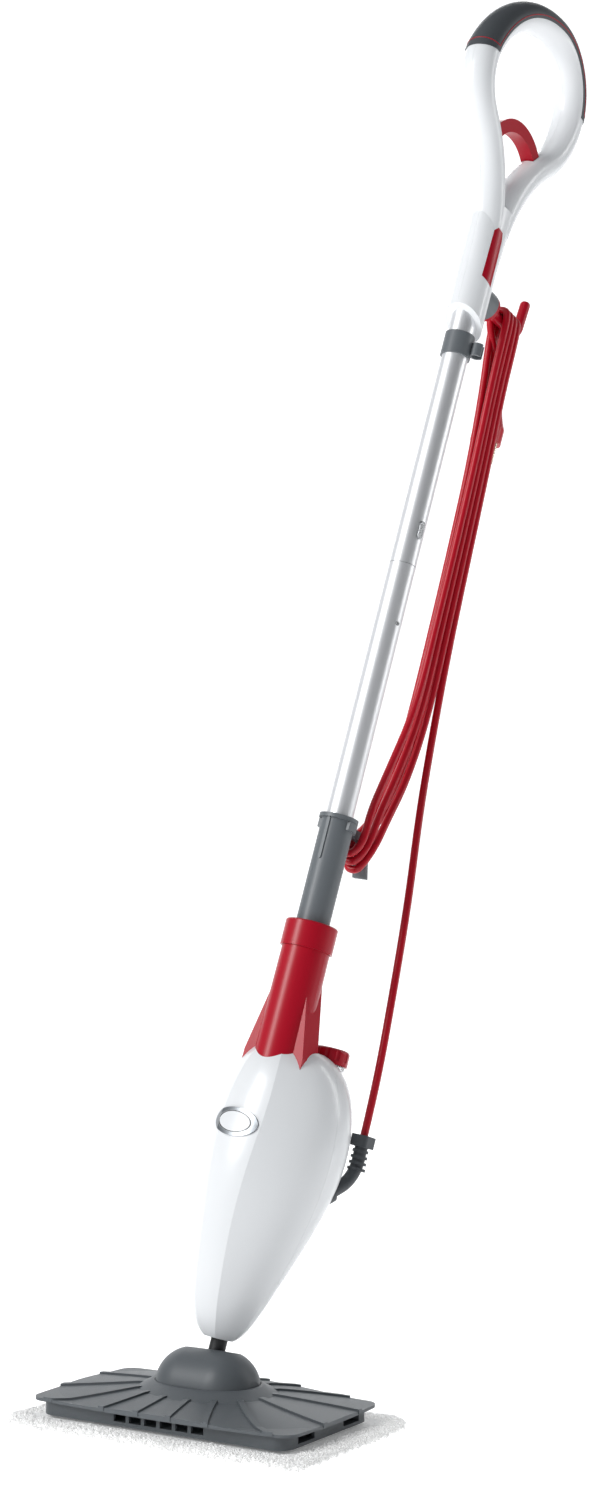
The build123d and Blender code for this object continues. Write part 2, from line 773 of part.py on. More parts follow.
with BuildPart() as neck_socket:
    add(socket_form(0))
    with BuildSketch(level(socket_low + socket_floor)):
        Circle(socket_bore)
    extrude(amount=sleeve_low - socket_low - 2 * socket_floor, mode=Mode.SUBTRACT)
    with BuildSketch(level(sleeve_low)):
        Circle(sleeve_radius + seat_gap)
    extrude(amount=socket_top, mode=Mode.SUBTRACT)
    with BuildSketch(level(0, wire_x)):
        Circle(wire_radius + running_gap)
    extrude(amount=socket_top, mode=Mode.SUBTRACT)
save(neck_socket, "neck_socket")

with BuildPart() as collar_ring:
    with BuildSketch(level(collar_low)):
        Circle(collar_radius)
    extrude(amount=collar_top - collar_low)
    chamfer(collar_ring.faces().sort_by(Axis(pole.origin, pole.z_dir))[-1].edges(), 1.0)
    with BuildSketch(level(collar_low)):
        Circle(socket_top_radius + collar_grip)
    extrude(amount=socket_top - collar_low + seat_gap, mode=Mode.SUBTRACT)
    with BuildSketch(level(collar_low)):
        Circle(sleeve_radius + running_gap)
    extrude(amount=collar_top - collar_low, mode=Mode.SUBTRACT)
save(collar_ring, "collar_ring")

with BuildPart() as pole_sleeve:
    with BuildSketch(level(sleeve_low)):
        Circle(sleeve_radius)
    extrude(amount=sleeve_top - sleeve_low)
    with BuildSketch(level(sleeve_top - flange_height)):
        Circle(flange_radius)
    extrude(amount=flange_height)
    with BuildSketch(front.offset(tube_radius + tube_wall)):
        with Locations((0, sleeve_top - flange_height - key_rib_length / 2)):
            RectangleRounded(key_rib_width, key_rib_length, key_rib_width * 0.45)
    extrude(amount=sleeve_radius - tube_radius - tube_wall + key_rib_proud)
    with BuildSketch(level(tube_low)):
        Circle(tube_radius + seat_gap)
    extrude(amount=sleeve_top, mode=Mode.SUBTRACT)
    with BuildSketch(level(sleeve_low, wire_x)):
        Circle(wire_radius + running_gap)
    extrude(amount=sleeve_top, mode=Mode.SUBTRACT)
save(pole_sleeve, "pole_sleeve")

with BuildPart() as filler_neck:
    with BuildSketch(level(filler_low, filler_x, filler_y)):
        Circle(filler_radius)
    extrude(amount=filler_flange_low - filler_low)
    with BuildSketch(level(filler_flange_low, filler_x, filler_y)):
        Circle(filler_flange)
    extrude(amount=filler_flange_height)
    with BuildSketch(level(filler_flange_low, filler_x, filler_y)):
        Circle(filler_spigot)
    extrude(amount=filler_flange_height + filler_spigot_height)
    with BuildSketch(level(filler_low, filler_x, filler_y)):
        Circle(filler_spigot - filler_wall)
    extrude(amount=body_top, mode=Mode.SUBTRACT)
save(filler_neck, "filler_neck")

cap_low = filler_flange_low + filler_flange_height + running_gap
with BuildPart() as filler_cap:
    with BuildSketch(level(cap_low, filler_x, filler_y)):
        Circle(cap_radius)
    extrude(amount=cap_height)
    fillet(filler_cap.faces().sort_by(Axis(pole.origin, pole.z_dir))[-1].edges(), cap_round)
    with BuildSketch(level(cap_low + cap_skirt, filler_x, filler_y)):
        with PolarLocations(cap_radius + 1.6, cap_grips):
            Circle(cap_notch)
    extrude(amount=cap_height, mode=Mode.SUBTRACT)
    with BuildSketch(level(cap_low, filler_x, filler_y)):
        Circle(filler_spigot + thread_gap)
    extrude(amount=filler_spigot_height + running_gap, mode=Mode.SUBTRACT)
save(filler_cap, "filler_cap")

with BuildPart() as water_tank:
    with BuildSketch(level(tank_low)):
        with Locations((0, tank_y)):
            Ellipse(tank_half_width, tank_half_depth)
    extrude(amount=filler_low - tank_low)
    with BuildSketch(level(tank_low + tank_wall)):
        with Locations((0, tank_y)):
            Ellipse(tank_half_width - tank_wall, tank_half_depth - tank_wall)
    extrude(amount=filler_low - tank_low - 2 * tank_wall, mode=Mode.SUBTRACT)
    with BuildSketch(level(tank_low + tank_wall, filler_x, filler_y)):
        Circle(filler_spigot - filler_wall)
    extrude(amount=filler_low, mode=Mode.SUBTRACT)
save(water_tank, "water_tank")

with BuildPart() as boiler:
    with BuildSketch(level(neck_top, 0, boiler_y)):
        Circle(boiler_low_radius)
    with BuildSketch(level(neck_top + boiler_height, 0, boiler_y)):
        Circle(boiler_top_radius)
    loft(ruled=True)
    with BuildSketch(level(neck_top + boiler_height, 0, boiler_y)):
        Circle(boiler_top_radius - boiler_dome)
    extrude(amount=boiler_dome_height)
save(boiler, "boiler")
boiler_top = neck_top + boiler_height + boiler_dome_height

with BuildPart() as thermostat:
    with BuildSketch(level(boiler_top, *thermostat_at)):
        Circle(thermostat_radius)
    extrude(amount=thermostat_height)
    with BuildSketch(level(boiler_top + thermostat_height, *thermostat_at)):
        with GridLocations(tab_pitch, 1, 2, 1):
            Rectangle(0.8, tab_height)
    extrude(amount=tab_height)
save(thermostat, "thermostat")

with BuildPart() as pump:
    with BuildSketch(level(boiler_top, pump_x, pump_y)):
        RectangleRounded(pump_width, pump_width, 4.0)
    extrude(amount=tank_low - boiler_top)
    with BuildSketch(level(boiler_top + pump_foot, pump_x, pump_y)):
        Circle(pump_width / 2 + 3.0)
    extrude(amount=tank_low - boiler_top - 2 * pump_foot)
save(pump, "pump")

# ---------------------------------------------------------------- the pole
with BuildPart() as lower_tube:
    with BuildSketch(level(tube_low)):
        Circle(tube_radius)
        Circle(tube_radius - tube_wall, mode=Mode.SUBTRACT)
    extrude(amount=seam_at - seam_gap - tube_low)
    with BuildSketch(facing_side(-side_angle, tube_screw_at)):
        Circle(tube_screw_radius)
    extrude(amount=2 * tube_radius, mode=Mode.SUBTRACT)
save(lower_tube, "lower_tube")

with BuildPart() as upper_tube:
    with BuildSketch(level(seam_at)):
        Circle(tube_radius)
        Circle(tube_radius - tube_wall, mode=Mode.SUBTRACT)
    extrude(amount=tube_top - seam_at)
    with BuildSketch(facing_side(-side_angle, button_at)):
        SlotOverall(button_length + 2 * running_gap, button_width + 2 * running_gap)
    extrude(amount=2 * tube_radius, mode=Mode.SUBTRACT)
save(upper_tube, "upper_tube")

joiner_radius = tube_radius - tube_wall - seat_gap
with BuildPart() as tube_joiner:
    with BuildSketch(level(joiner_low)):
        Circle(joiner_radius)
        Circle(joiner_bore, mode=Mode.SUBTRACT)
    extrude(amount=joiner_top - joiner_low)
    with BuildSketch(facing_side(-side_angle, button_at)):
        SlotOverall(button_length + 2 * running_gap, button_width + 2 * running_gap)
    extrude(amount=2 * tube_radius, mode=Mode.SUBTRACT)
    with BuildSketch(facing_side(-side_angle, tube_screw_at)):
        Circle(tube_screw_radius)
    extrude(amount=2 * tube_radius, mode=Mode.SUBTRACT)
    chamfer(tube_joiner.faces().sort_by(Axis(pole.origin, pole.z_dir))[-1].edges().sort_by(SortBy.RADIUS)[-1], 1.0)
save(tube_joiner, "tube_joiner")

with BuildPart() as tube_screw:
    with BuildSketch(facing_side(-side_angle, tube_screw_at).offset(joiner_bore + 0.4)):
        Circle(tube_screw_radius)
    extrude(amount=tube_radius - joiner_bore)
    with BuildSketch(facing_side(-side_angle, tube_screw_at).offset(tube_radius + 0.4)):
        Rectangle(2.2, 0.5)
        Rectangle(0.5, 2.2)
    extrude(amount=-0.8, mode=Mode.SUBTRACT)
save(tube_screw, "tube_screw")

flange_out = 5.7            # a wider foot keeps the button inside the joiner's bore
with BuildPart() as snap_button:
    with BuildSketch(facing_side(-side_angle, button_at).offset(flange_out)):
        SlotOverall(button_length, button_width)
    extrude(amount=tube_radius + button_proud - flange_out)
    fillet(snap_button.edges().filter_by(GeomType.CIRCLE).sort_by_distance(pole.origin)[-1:], 0.2)
    with BuildSketch(facing_side(-side_angle, button_at).offset(flange_out - button_flange)):
        SlotOverall(button_length + 3.0, button_width + 2.0)
    extrude(amount=button_flange)
save(snap_button, "snap_button")

# a leaf spring lies along the joiner's bore and lifts the button
leaf_out = flange_out - button_flange - 0.1
with BuildPart() as button_spring:
    with BuildSketch(Plane(origin=pole.origin, x_dir=facing_side(-side_angle, 0).z_dir,
                           z_dir=facing_side(90 - side_angle, 0).z_dir * -1).offset(-leaf_width / 2)):
        with BuildLine():
            Polyline((joiner_bore - leaf_sink, leaf_low), (joiner_bore - leaf_sink, leaf_low + 10.0),
                     (leaf_out - leaf_wall / 2, button_at - button_length), (leaf_out - leaf_wall / 2, button_at + 6.0))
        trace(line_width=leaf_wall)
    extrude(amount=leaf_width)
save(button_spring, "button_spring")

with BuildPart() as clip_ring:
    with BuildSketch(level(clip_low)):
        Circle(tube_radius + clip_wall)
    extrude(amount=clip_height)
    turn = math.radians(clip_angle)
    reach = tube_radius + clip_wall + clip_outer - 1.0
    with BuildSketch(level(clip_low + 3.0)):
        with Locations(Location((reach * math.cos(turn), reach * math.sin(turn), 0), (0, 0, clip_angle))):
            Circle(clip_outer)
            Circle(clip_bore, mode=Mode.SUBTRACT)
            with Locations((clip_outer, 0)):
                Rectangle(clip_outer * 1.2, clip_mouth, mode=Mode.SUBTRACT)
    extrude(amount=clip_height - 9.0)
    with BuildSketch(level(clip_low)):
        Circle(tube_radius + seat_gap)
    extrude(amount=clip_height, mode=Mode.SUBTRACT)
save(clip_ring, "clip_ring")

with BuildPart() as switch_lead:
    with BuildSketch(level(lead_low, wire_x)):
        Circle(wire_radius)
    extrude(amount=lead_top - lead_low)
save(switch_lead, "switch_lead")


# ---------------------------------------------------------------- the ring handle
def ring_chain(inset=0.0):
    """Start, middle and end of each arc of the ring's middle line, moved in by an inset."""
    heading = ring_heading
    point = Vector(*ring_start) + Vector(1, 0).rotate(Axis.Z, heading - 90) * inset
    arcs = []
    for radius, turn in ring_arcs:
        radius += math.copysign(inset, turn)
        half, whole = [
            point + Vector(1, 0).rotate(Axis.Z, heading + part / 2) * 2 * radius * math.sin(abs(math.radians(part)) / 2)
            for part in (turn / 2, turn)
        ]
        arcs.append((tuple(point)[:2], tuple(half)[:2], tuple(whole)[:2]))
        point = whole
        heading += turn
    return arcs


def limb_form(grow, arcs):
    """One limb of the ring, swept along some arcs of its middle line and grown by a wall."""
    with BuildPart(mode=Mode.PRIVATE) as form:
        with BuildLine(profile) as middle:
            for arc in arcs:
                ThreePointArc(*arc)
        with BuildSketch(Plane(origin=middle.line @ 0, x_dir=pole.x_dir, z_dir=middle.line % 0)):
            Ellipse(limb_half_width + grow, limb_half_depth + grow)
        sweep(path=middle.line)
    return form.part


ring = ring_chain()
front_arcs = ring[:ring_top]
rear_arcs = [arc[::-1] for arc in ring[:ring_top - 1:-1]]


def shaft_form(grow):
    """The handle's shaft with its slanted lower edge and the palm that the limbs leave from."""
    with BuildPart(mode=Mode.PRIVATE) as form:
        with BuildSketch(profile.offset(-2 * shaft_radius)):
            with BuildLine():
                Polyline((-shaft_radius - grow, shaft_blend), (-shaft_radius - grow, cut_front),
                         (shaft_radius + grow, cut_back), (shaft_radius + grow, shaft_blend), close=True)
            make_face()
        extrude(amount=4 * shaft_radius)
        with BuildSketch(level(cut_back)):
            Circle(shaft_radius + grow)
        extrude(amount=shaft_blend - cut_back, mode=Mode.INTERSECT)
        with BuildSketch(level(shaft_blend)):
            Circle(shaft_radius + grow)
        with BuildSketch(level(palm_height)):
            with Locations((0, palm_y)):
                Ellipse(palm_half_width + grow, palm_half_depth + grow)
        loft(ruled=True)
    return form.part


def side_zone(grow):
    """The slanted, pointed field of the red inserts on both flanks of the palm."""
    with BuildPart(mode=Mode.PRIVATE) as form:
        with BuildSketch(profile.offset(-2 * shaft_radius)) as field:
            with BuildLine():
                Polyline(*insert_points, close=True)
            make_face()
            offset(amount=grow)
        extrude(amount=4 * shaft_radius)
    return form.part


def trigger_form(grow, turn):
    """The trigger's arched bar, grown by a gap and turned about its pin."""
    with BuildPart(mode=Mode.PRIVATE) as form:
        with BuildSketch(profile.offset(-trigger_width / 2 - grow)):
            with BuildLine():
                ThreePointArc(*trigger_points)
            trace(line_width=trigger_depth + 2 * grow)
            with Locations(trigger_points[0], trigger_points[2]):
                Circle(trigger_depth / 2 + grow)
        extrude(amount=trigger_width + 2 * grow)
    return form.part.rotate(Axis(profile.from_local_coords(Vector(*trigger_pin_at, 0)), pole.x_dir), turn)


shaft_outer = shaft_form(0)
with BuildPart() as handle:
    add(shaft_outer)
    add(limb_form(0, front_arcs))
    add(limb_form(0, rear_arcs))
    # both limbs are hollow, and so is the palm above the tube's stop
    add(limb_form(-handle_wall, front_arcs), mode=Mode.SUBTRACT)
    add(limb_form(-handle_wall - 0.5, rear_arcs), mode=Mode.SUBTRACT)
    # the shaft is bored for the tube, with a stop on the tube's end
    with BuildSketch(level(cut_back)):
        Circle(tube_radius + seat_gap)
    extrude(amount=tube_top - cut_back, mode=Mode.SUBTRACT)
    with BuildSketch(level(tube_top)):
        Circle(tube_radius - tube_wall - 1.0)
    extrude(amount=palm_height - tube_top, mode=Mode.SUBTRACT)
    # the shaft only grips the tube at its two ends
    with BuildSketch(level(cut_front + shaft_grip)):
        Circle(shaft_radius - 2.6)
    extrude(amount=tube_top - cut_front - 2 * shaft_grip, mode=Mode.SUBTRACT)
    # room for the trigger through its whole stroke
    add(trigger_form(trigger_gap, 0), mode=Mode.SUBTRACT)
    add(trigger_form(trigger_gap, trigger_travel / 2), mode=Mode.SUBTRACT)
    add(trigger_form(trigger_gap, trigger_travel), mode=Mode.SUBTRACT)
    with BuildSketch(profile.offset(-trigger_pin_half)):
        with Locations(trigger_pin_at):
            Circle(trigger_pin_radius)
    extrude(amount=2 * trigger_pin_half, mode=Mode.SUBTRACT)

with BuildPart() as insert_bed:
    add(side_zone(seat_gap))
    add(shaft_form(-insert_depth), mode=Mode.SUBTRACT)

with BuildPart() as side_inserts:
    add(shaft_outer)
    add(side_zone(0), mode=Mode.INTERSECT)
    add(shaft_form(-insert_depth + seat_gap), mode=Mode.SUBTRACT)
save(side_inserts, "side_inserts")

with BuildPart() as handle_right:
    add(handle.part)
    add(insert_bed.part, mode=Mode.SUBTRACT)
    split(bisect_by=profile.offset(unit_seam), keep=Keep.TOP)
save(handle_right, "handle_right")

with BuildPart() as handle_left:
    add(handle.part)
    add(insert_bed.part, mode=Mode.SUBTRACT)
    split(bisect_by=profile, keep=Keep.BOTTOM)
save(handle_left, "handle_left")

grip_line = ring_chain(grip_inset)[1:5]
with BuildPart() as grip_cover:
    with BuildSketch(profile.offset(-2 * limb_half_width)):
        with BuildLine():
            for arc in grip_line:
                ThreePointArc(*arc)
            Polyline(grip_line[-1][2], (grip_far, grip_line[-1][2][1]), (grip_far, palm_height + 2 * grip_far),
                     (-grip_far, palm_height + 2 * grip_far), (-grip_far, grip_line[0][0][1]), grip_line[0][0])
        make_face()
        with Locations((-grip_far / 2, grip_front - grip_far), (grip_far / 2, grip_rear - grip_far)):
            Rectangle(grip_far, 2 * grip_far, mode=Mode.SUBTRACT)
    extrude(amount=4 * limb_half_width)
    with BuildPart(mode=Mode.PRIVATE) as grip_skin:
        add(limb_form(grip_proud, front_arcs[1:]))
        add(limb_form(grip_proud, rear_arcs[1:]))
    add(grip_skin.part, mode=Mode.INTERSECT)
    add(limb_form(seat_gap, front_arcs), mode=Mode.SUBTRACT)
    add(limb_form(seat_gap, rear_arcs), mode=Mode.SUBTRACT)
save(grip_cover, "grip_cover")

with BuildPart() as trigger:
    add(trigger_form(0, 0))
    with BuildSketch(profile.offset(-trigger_pin_half)):
        with Locations(trigger_pin_at):
            Circle(trigger_pin_radius + pin_gap)
    extrude(amount=2 * trigger_pin_half, mode=Mode.SUBTRACT)
save(trigger, "trigger")

with BuildPart() as trigger_pin:
    with BuildSketch(profile.offset(-trigger_pin_half)):
        with Locations(trigger_pin_at):
            Circle(trigger_pin_radius)
    extrude(amount=2 * trigger_pin_half)
save(trigger_pin, "trigger_pin")

switch_frame = Plane(origin=profile.from_local_coords(Vector(*switch_at, 0)), x_dir=pole.x_dir,
                     z_dir=pole.y_dir * switch_slant[0] + pole.z_dir * switch_slant[1])
with BuildPart() as steam_switch:
    with BuildSketch(switch_frame.offset(-switch_length / 2)):
        Rectangle(switch_width, switch_depth)
    extrude(amount=switch_length)
    with BuildSketch(switch_frame.offset(switch_length / 2)):
        Circle(plunger_radius)
    extrude(amount=plunger_height)
    # two studs seat it between the halves of the handle
    with BuildSketch(profile.offset(-switch_stud_half)):
        with Locations(switch_at):
            Circle(switch_stud)
    extrude(amount=2 * switch_stud_half)
save(steam_switch, "steam_switch")

with BuildPart() as trigger_spring:
    with BuildLine() as coil:
        Helix(pitch=spring_pitch, height=spring_height, radius=spring_radius,
              center=switch_frame.offset(switch_length / 2 + spring_wire / 2 + seat_gap).origin,
              direction=switch_frame.z_dir)
    with BuildSketch(Plane(origin=coil.line @ 0, z_dir=coil.line % 0)):
        Circle(spring_wire / 2)
    sweep(path=coil.line, is_frenet=True)
save(trigger_spring, "trigger_spring")

# ---------------------------------------------------------------- the cord hooks
with BuildPart() as hook_base:
    with BuildSketch(facing_back(0, hook_at)):
        Circle(hook_base_radius)
    extrude(amount=hook_base_back)
    with BuildSketch(level(cut_back)):
        Circle(shaft_radius + seat_gap)
    extrude(amount=shaft_blend, mode=Mode.SUBTRACT)
    with BuildSketch(facing_back(0, hook_at)):
        Circle(spigot_radius + pin_gap)
    extrude(amount=hook_base_back, mode=Mode.SUBTRACT)
save(hook_base, "hook_base")

with BuildPart() as upper_hook:
    with BuildSketch(facing_back(hook_base_back + running_gap, hook_at)):
        Circle(hook_base_radius - 0.5)
    extrude(amount=hook_plate)
    fillet(upper_hook.edges().sort_by(Axis(pole.origin, pole.y_dir))[-1:], 1.2)
    with BuildSketch(facing_back(shaft_radius + 1.0, hook_at)):
        Circle(spigot_radius)
    extrude(amount=hook_base_back + running_gap - shaft_radius - 1.0)
    with BuildLine(profile) as hook_line:
        FilletPolyline((hook_base_back + 2.0, hook_at), (arm_back, hook_at), (hook_tip_back, hook_tip_at),
                       radius=hook_bend)
    with BuildSketch(Plane(origin=hook_line.line @ 0, z_dir=hook_line.line % 0)):
        Circle(arm_radius)
    sweep(path=hook_line.line)
    fillet(upper_hook.edges().sort_by(Axis(pole.origin, pole.z_dir))[-1:], 3.2)
save(upper_hook, "upper_hook")

with BuildPart() as lower_hook:
    with BuildSketch(profile.offset(-low_arm_width / 2)):
        with Locations((tongue_back / 2, low_arm_at)):
            Rectangle(tongue_back, low_arm_height)
    extrude(amount=low_arm_width)
    with BuildSketch(profile.offset(-tongue_width / 2)):
        with BuildLine():
            low_arm_top = low_arm_at + low_arm_height / 2
            Polyline((tongue_back - tongue_wall, low_arm_top), (tongue_back, low_arm_top),
                     (tongue_back, tongue_low + tongue_bend), (tongue_back + tongue_flare, tongue_low),
                     (tongue_back + tongue_flare - tongue_wall, tongue_low),
                     (tongue_back - tongue_wall, tongue_low + tongue_bend), close=True)
        make_face()
    extrude(amount=tongue_width)
    # the clip that holds the arm on the sleeve
    with BuildSketch(level(low_arm_at - low_arm_height / 2)):
        Circle(sleeve_radius + 2.4)
    extrude(amount=low_arm_height)
    with BuildSketch(level(low_arm_at - low_arm_height / 2)):
        Circle(sleeve_radius + seat_gap)
        with Locations((0, -sleeve_radius)):
            Rectangle(4 * sleeve_radius, 1.2 * sleeve_radius)
    extrude(amount=low_arm_height, mode=Mode.SUBTRACT)
save(lower_hook, "lower_hook")


# ---------------------------------------------------------------- the mains cord
def bends(points):
    """The arc radius at each inner corner of a route, from its shorter run and its turn."""
    radii = []
    for before, corner, after in zip(points, points[1:], points[2:]):
        run_in = Vector(*corner) - Vector(*before)
        run_out = Vector(*after) - Vector(*corner)
        turn = math.radians(run_in.get_angle(run_out))
        radii.append(0.45 * min(run_in.length, run_out.length) / math.tan(turn / 2))
    return radii


def tube_along(points, radius):
    """A round solid along a route given in the pole's frame."""
    route = [tuple(pole.from_local_coords(Vector(*point))) for point in points]
    with BuildPart(mode=Mode.PRIVATE) as form:
        with BuildLine() as path:
            FilletPolyline(*route, radius=bends(route))
        with BuildSketch(Plane(origin=path.line @ 0, z_dir=path.line % 0)):
            Circle(radius)
        sweep(path=path.line)
    print("route", round(sum(edge.length for edge in path.line.edges()), 1), [round(r, 1) for r in bends(route)])
    return form.part


with BuildPart() as strain_relief:
    add(tube_along(relief_points, relief_radius))
    with BuildSketch(level(relief_points[-1][2] - relief_block, relief_points[-1][0], relief_points[-1][1])):
        RectangleRounded(2 * relief_foot, 2 * relief_foot, 2.4)
    extrude(amount=relief_block)
    for step in range(relief_ribs):
        with BuildSketch(level(relief_rib_low + step * relief_rib_pitch, relief_points[-1][0], relief_points[-1][1])):
            Circle(relief_foot - 0.3 * (step + 1))
        extrude(amount=relief_rib_wall)
    with BuildSketch(Plane(origin=relief_root, z_dir=relief_out)):
        Circle(relief_foot)
    extrude(amount=relief_foot_height)
save(strain_relief, "strain_relief")

with BuildPart() as mains_cord:
    add(tube_along(cord_points, cord_radius))
save(mains_cord, "mains_cord")

with BuildPart() as cord_tail:
    add(tube_along(tail_points, cord_radius))
save(cord_tail, "cord_tail")

with BuildPart() as cord_hank:
    with BuildSketch(profile.offset(-hank_half)):
        with BuildLine():
            Spline(*hank_front)
            Polyline(hank_front[-1], hank_front_foot, hank_rear_foot, hank_rear[0])
            Spline(*hank_rear)
            Line(hank_rear[-1], hank_front[0])
        make_face()
    extrude(amount=2 * hank_half)
    # narrow between the hooks, wider round them
    with BuildSketch(front.offset(-tongue_back * 3)):
        with BuildLine():
            ThreePointArc((-hank_half, hank_high - hank_half), (0, hank_high), (hank_half, hank_high - hank_half))
            Polyline((hank_half, hank_high - hank_half), (hank_waist, hank_waist_top), (hank_waist, hank_waist_low),
                     (hank_half, low_arm_at), (hank_half, hank_bottom + hank_half))
            ThreePointArc((hank_half, hank_bottom + hank_half), (0, hank_bottom), (-hank_half, hank_bottom + hank_half))
            Polyline((-hank_half, hank_bottom + hank_half), (-hank_half, low_arm_at), (-hank_waist, hank_waist_low),
                     (-hank_waist, hank_waist_top), (-hank_half, hank_high - hank_half))
        make_face()
        with Locations((0, (hook_at + hank_slot_low) / 2)):
            SlotOverall(hook_at - hank_slot_low + 2 * (arm_radius + running_gap), 2 * (arm_radius + running_gap),
                        rotation=90, mode=Mode.SUBTRACT)
        with Locations((0, (low_arm_at + hank_slot_top) / 2)):
            Rectangle(low_arm_width + 1.0, hank_slot_top - low_arm_at + low_arm_height + 2 * running_gap,
                      mode=Mode.SUBTRACT)
    extrude(amount=tongue_back * 4, mode=Mode.INTERSECT)
    add(mains_cord.part, mode=Mode.SUBTRACT)
    add(cord_tail.part, mode=Mode.SUBTRACT)
save(cord_hank, "cord_hank")

plug_top = pole.from_local_coords(Vector(*tail_points[-1]))
plug_down = (plug_top - pole.from_local_coords(Vector(*tail_points[-2]))).normalized()
plug_frame = Plane(origin=plug_top, x_dir=pole.x_dir, z_dir=plug_down)
with BuildPart() as plug_body:
    with BuildSketch(plug_frame):
        Circle(plug_neck)
    with BuildSketch(plug_frame.offset(plug_waist_at)):
        Circle(plug_waist)
    with BuildSketch(plug_frame.offset(plug_shoulder)):
        Circle(plug_radius)
    loft()
    with BuildSketch(plug_frame.offset(plug_shoulder)):
        Circle(plug_radius)
    extrude(amount=plug_length - plug_shoulder)
    with BuildSketch(plug_frame.offset(plug_length - plug_pin_sink)):
        with GridLocations(plug_pitch, 1, 2, 1):
            Circle(plug_pin_radius + seat_gap)
    extrude(amount=plug_pin_sink, mode=Mode.SUBTRACT)
save(plug_body, "plug_body")

with BuildPart() as plug_pins:
    with BuildSketch(plug_frame.offset(plug_length - plug_pin_sink)):
        with GridLocations(plug_pitch, 1, 2, 1):
            Circle(plug_pin_radius)
    extrude(amount=plug_pin_sink + plug_pin_length)
save(plug_pins, "plug_pins")
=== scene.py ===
"""Looks of the steam mop: materials, the looped pad, the wound cord and small trim."""
import math

import bmesh
import bpy
from mathutils import Euler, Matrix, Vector, noise


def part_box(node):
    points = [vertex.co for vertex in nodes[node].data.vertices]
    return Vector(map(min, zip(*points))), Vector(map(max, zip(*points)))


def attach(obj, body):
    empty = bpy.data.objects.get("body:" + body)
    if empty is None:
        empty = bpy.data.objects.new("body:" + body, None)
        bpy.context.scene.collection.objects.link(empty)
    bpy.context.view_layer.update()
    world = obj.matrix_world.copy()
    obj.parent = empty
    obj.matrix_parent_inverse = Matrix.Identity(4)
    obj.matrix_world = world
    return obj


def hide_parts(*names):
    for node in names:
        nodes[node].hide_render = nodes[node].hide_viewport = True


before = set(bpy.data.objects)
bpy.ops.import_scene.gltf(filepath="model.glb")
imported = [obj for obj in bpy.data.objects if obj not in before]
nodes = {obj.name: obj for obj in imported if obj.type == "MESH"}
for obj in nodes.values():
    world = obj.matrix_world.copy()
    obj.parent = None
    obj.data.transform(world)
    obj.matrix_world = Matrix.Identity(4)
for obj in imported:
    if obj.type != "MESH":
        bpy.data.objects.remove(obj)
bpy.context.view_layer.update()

MM = 0.001

# ---------------------------------------------------------------- the pole's frame
lean_back = math.radians(15.0)
lean_side = math.radians(7.2)
barrel_up = Vector((0, math.sin(lean_back), math.cos(lean_back)))
pole_back = Vector((0, math.cos(lean_back), -math.sin(lean_back)))
pole_up = Vector((1, 0, 0)) * math.sin(lean_side) + barrel_up * math.cos(lean_side)
pole_right = Vector((1, 0, 0)) * math.cos(lean_side) - barrel_up * math.sin(lean_side)
pole_foot = Vector((0, 2, 31)) - pole_back * 15


def place(right, back, height):
    """A point given in millimetres right, back and up the pole, as metres in the shared frame."""
    return (pole_foot + pole_right * right + pole_back * back + pole_up * height) * MM


# ---------------------------------------------------------------- colours and shader nodes
def paint(code):
    """A colour code such as 'C01028' as a linear colour."""
    channels = [int(code[i:i + 2], 16) / 255 for i in (0, 2, 4)]
    return [c / 12.92 if c < 0.04045 else ((c + 0.055) / 1.055) ** 2.4 for c in channels] + [1.0]


def add_node(tree, kind, settings=None, values=None, links=None):
    """Adds one node, with its settings, its input values and the sockets that feed its inputs."""
    node = tree.nodes.new(kind)
    for key, value in (settings or {}).items():
        setattr(node, key, value)
    for key, value in (values or {}).items():
        node.inputs[key].default_value = value
    for key, socket in (links or {}).items():
        tree.links.new(socket, node.inputs[key])
    return node


def math_node(tree, operation, *given):
    """A Math node's output; each input is a number or the socket that feeds it."""
    node = add_node(tree, "ShaderNodeMath", {"operation": operation})
    for index, value in enumerate(given):
        if isinstance(value, bpy.types.NodeSocket):
            tree.links.new(value, node.inputs[index])
        else:
            node.inputs[index].default_value = value
    return node.outputs[0]


def new_material(name):
    """An empty material with its Principled shader."""
    material = bpy.data.materials.new(name)
    material.use_nodes = True
    tree = material.node_tree
    shader = next(node for node in tree.nodes if node.type == "BSDF_PRINCIPLED")
    return material, tree, shader


def grain(tree, shader, scale, height, detail=2.0, rough=None):
    """A fine moulded grain in real size: a bump, and if asked a slight change of roughness."""
    place_node = add_node(tree, "ShaderNodeTexCoord")
    cells = add_node(tree, "ShaderNodeTexNoise", values={"Scale": scale, "Detail": detail},
                     links={"Vector": place_node.outputs["Object"]})
    bump = add_node(tree, "ShaderNodeBump", values={"Strength": 0.6, "Distance": height},
                    links={"Height": cells.outputs["Fac"]})
    tree.links.new(bump.outputs["Normal"], shader.inputs["Normal"])
    if rough:
        spread = add_node(tree, "ShaderNodeMapRange",
                          values={"From Min": 0.3, "From Max": 0.7, "To Min": rough[0], "To Max": rough[1]},
                          links={"Value": cells.outputs["Fac"]})
        tree.links.new(spread.outputs["Result"], shader.inputs["Roughness"])


def plastic(name, colour, rough, coat=0.0, grain_scale=900.0, grain_height=0.00002, spread=0.04,
            specular=0.5):
    """A moulded plastic of one colour."""
    material, tree, shader = new_material(name)
    shader.inputs["Base Color"].default_value = paint(colour)
    shader.inputs["Specular IOR Level"].default_value = specular
    shader.inputs["Roughness"].default_value = rough
    shader.inputs["Coat Weight"].default_value = coat
    shader.inputs["Coat Roughness"].default_value = 0.06
    grain(tree, shader, grain_scale, grain_height, rough=(rough - spread, rough + spread))
    return material


# white gloss ABS of the casing and the handle
white_gloss = plastic("white_gloss_abs", "E8EAEC", 0.25, coat=0.15, grain_scale=240.0, grain_height=0.000004,
                      spread=0.02, specular=0.36)
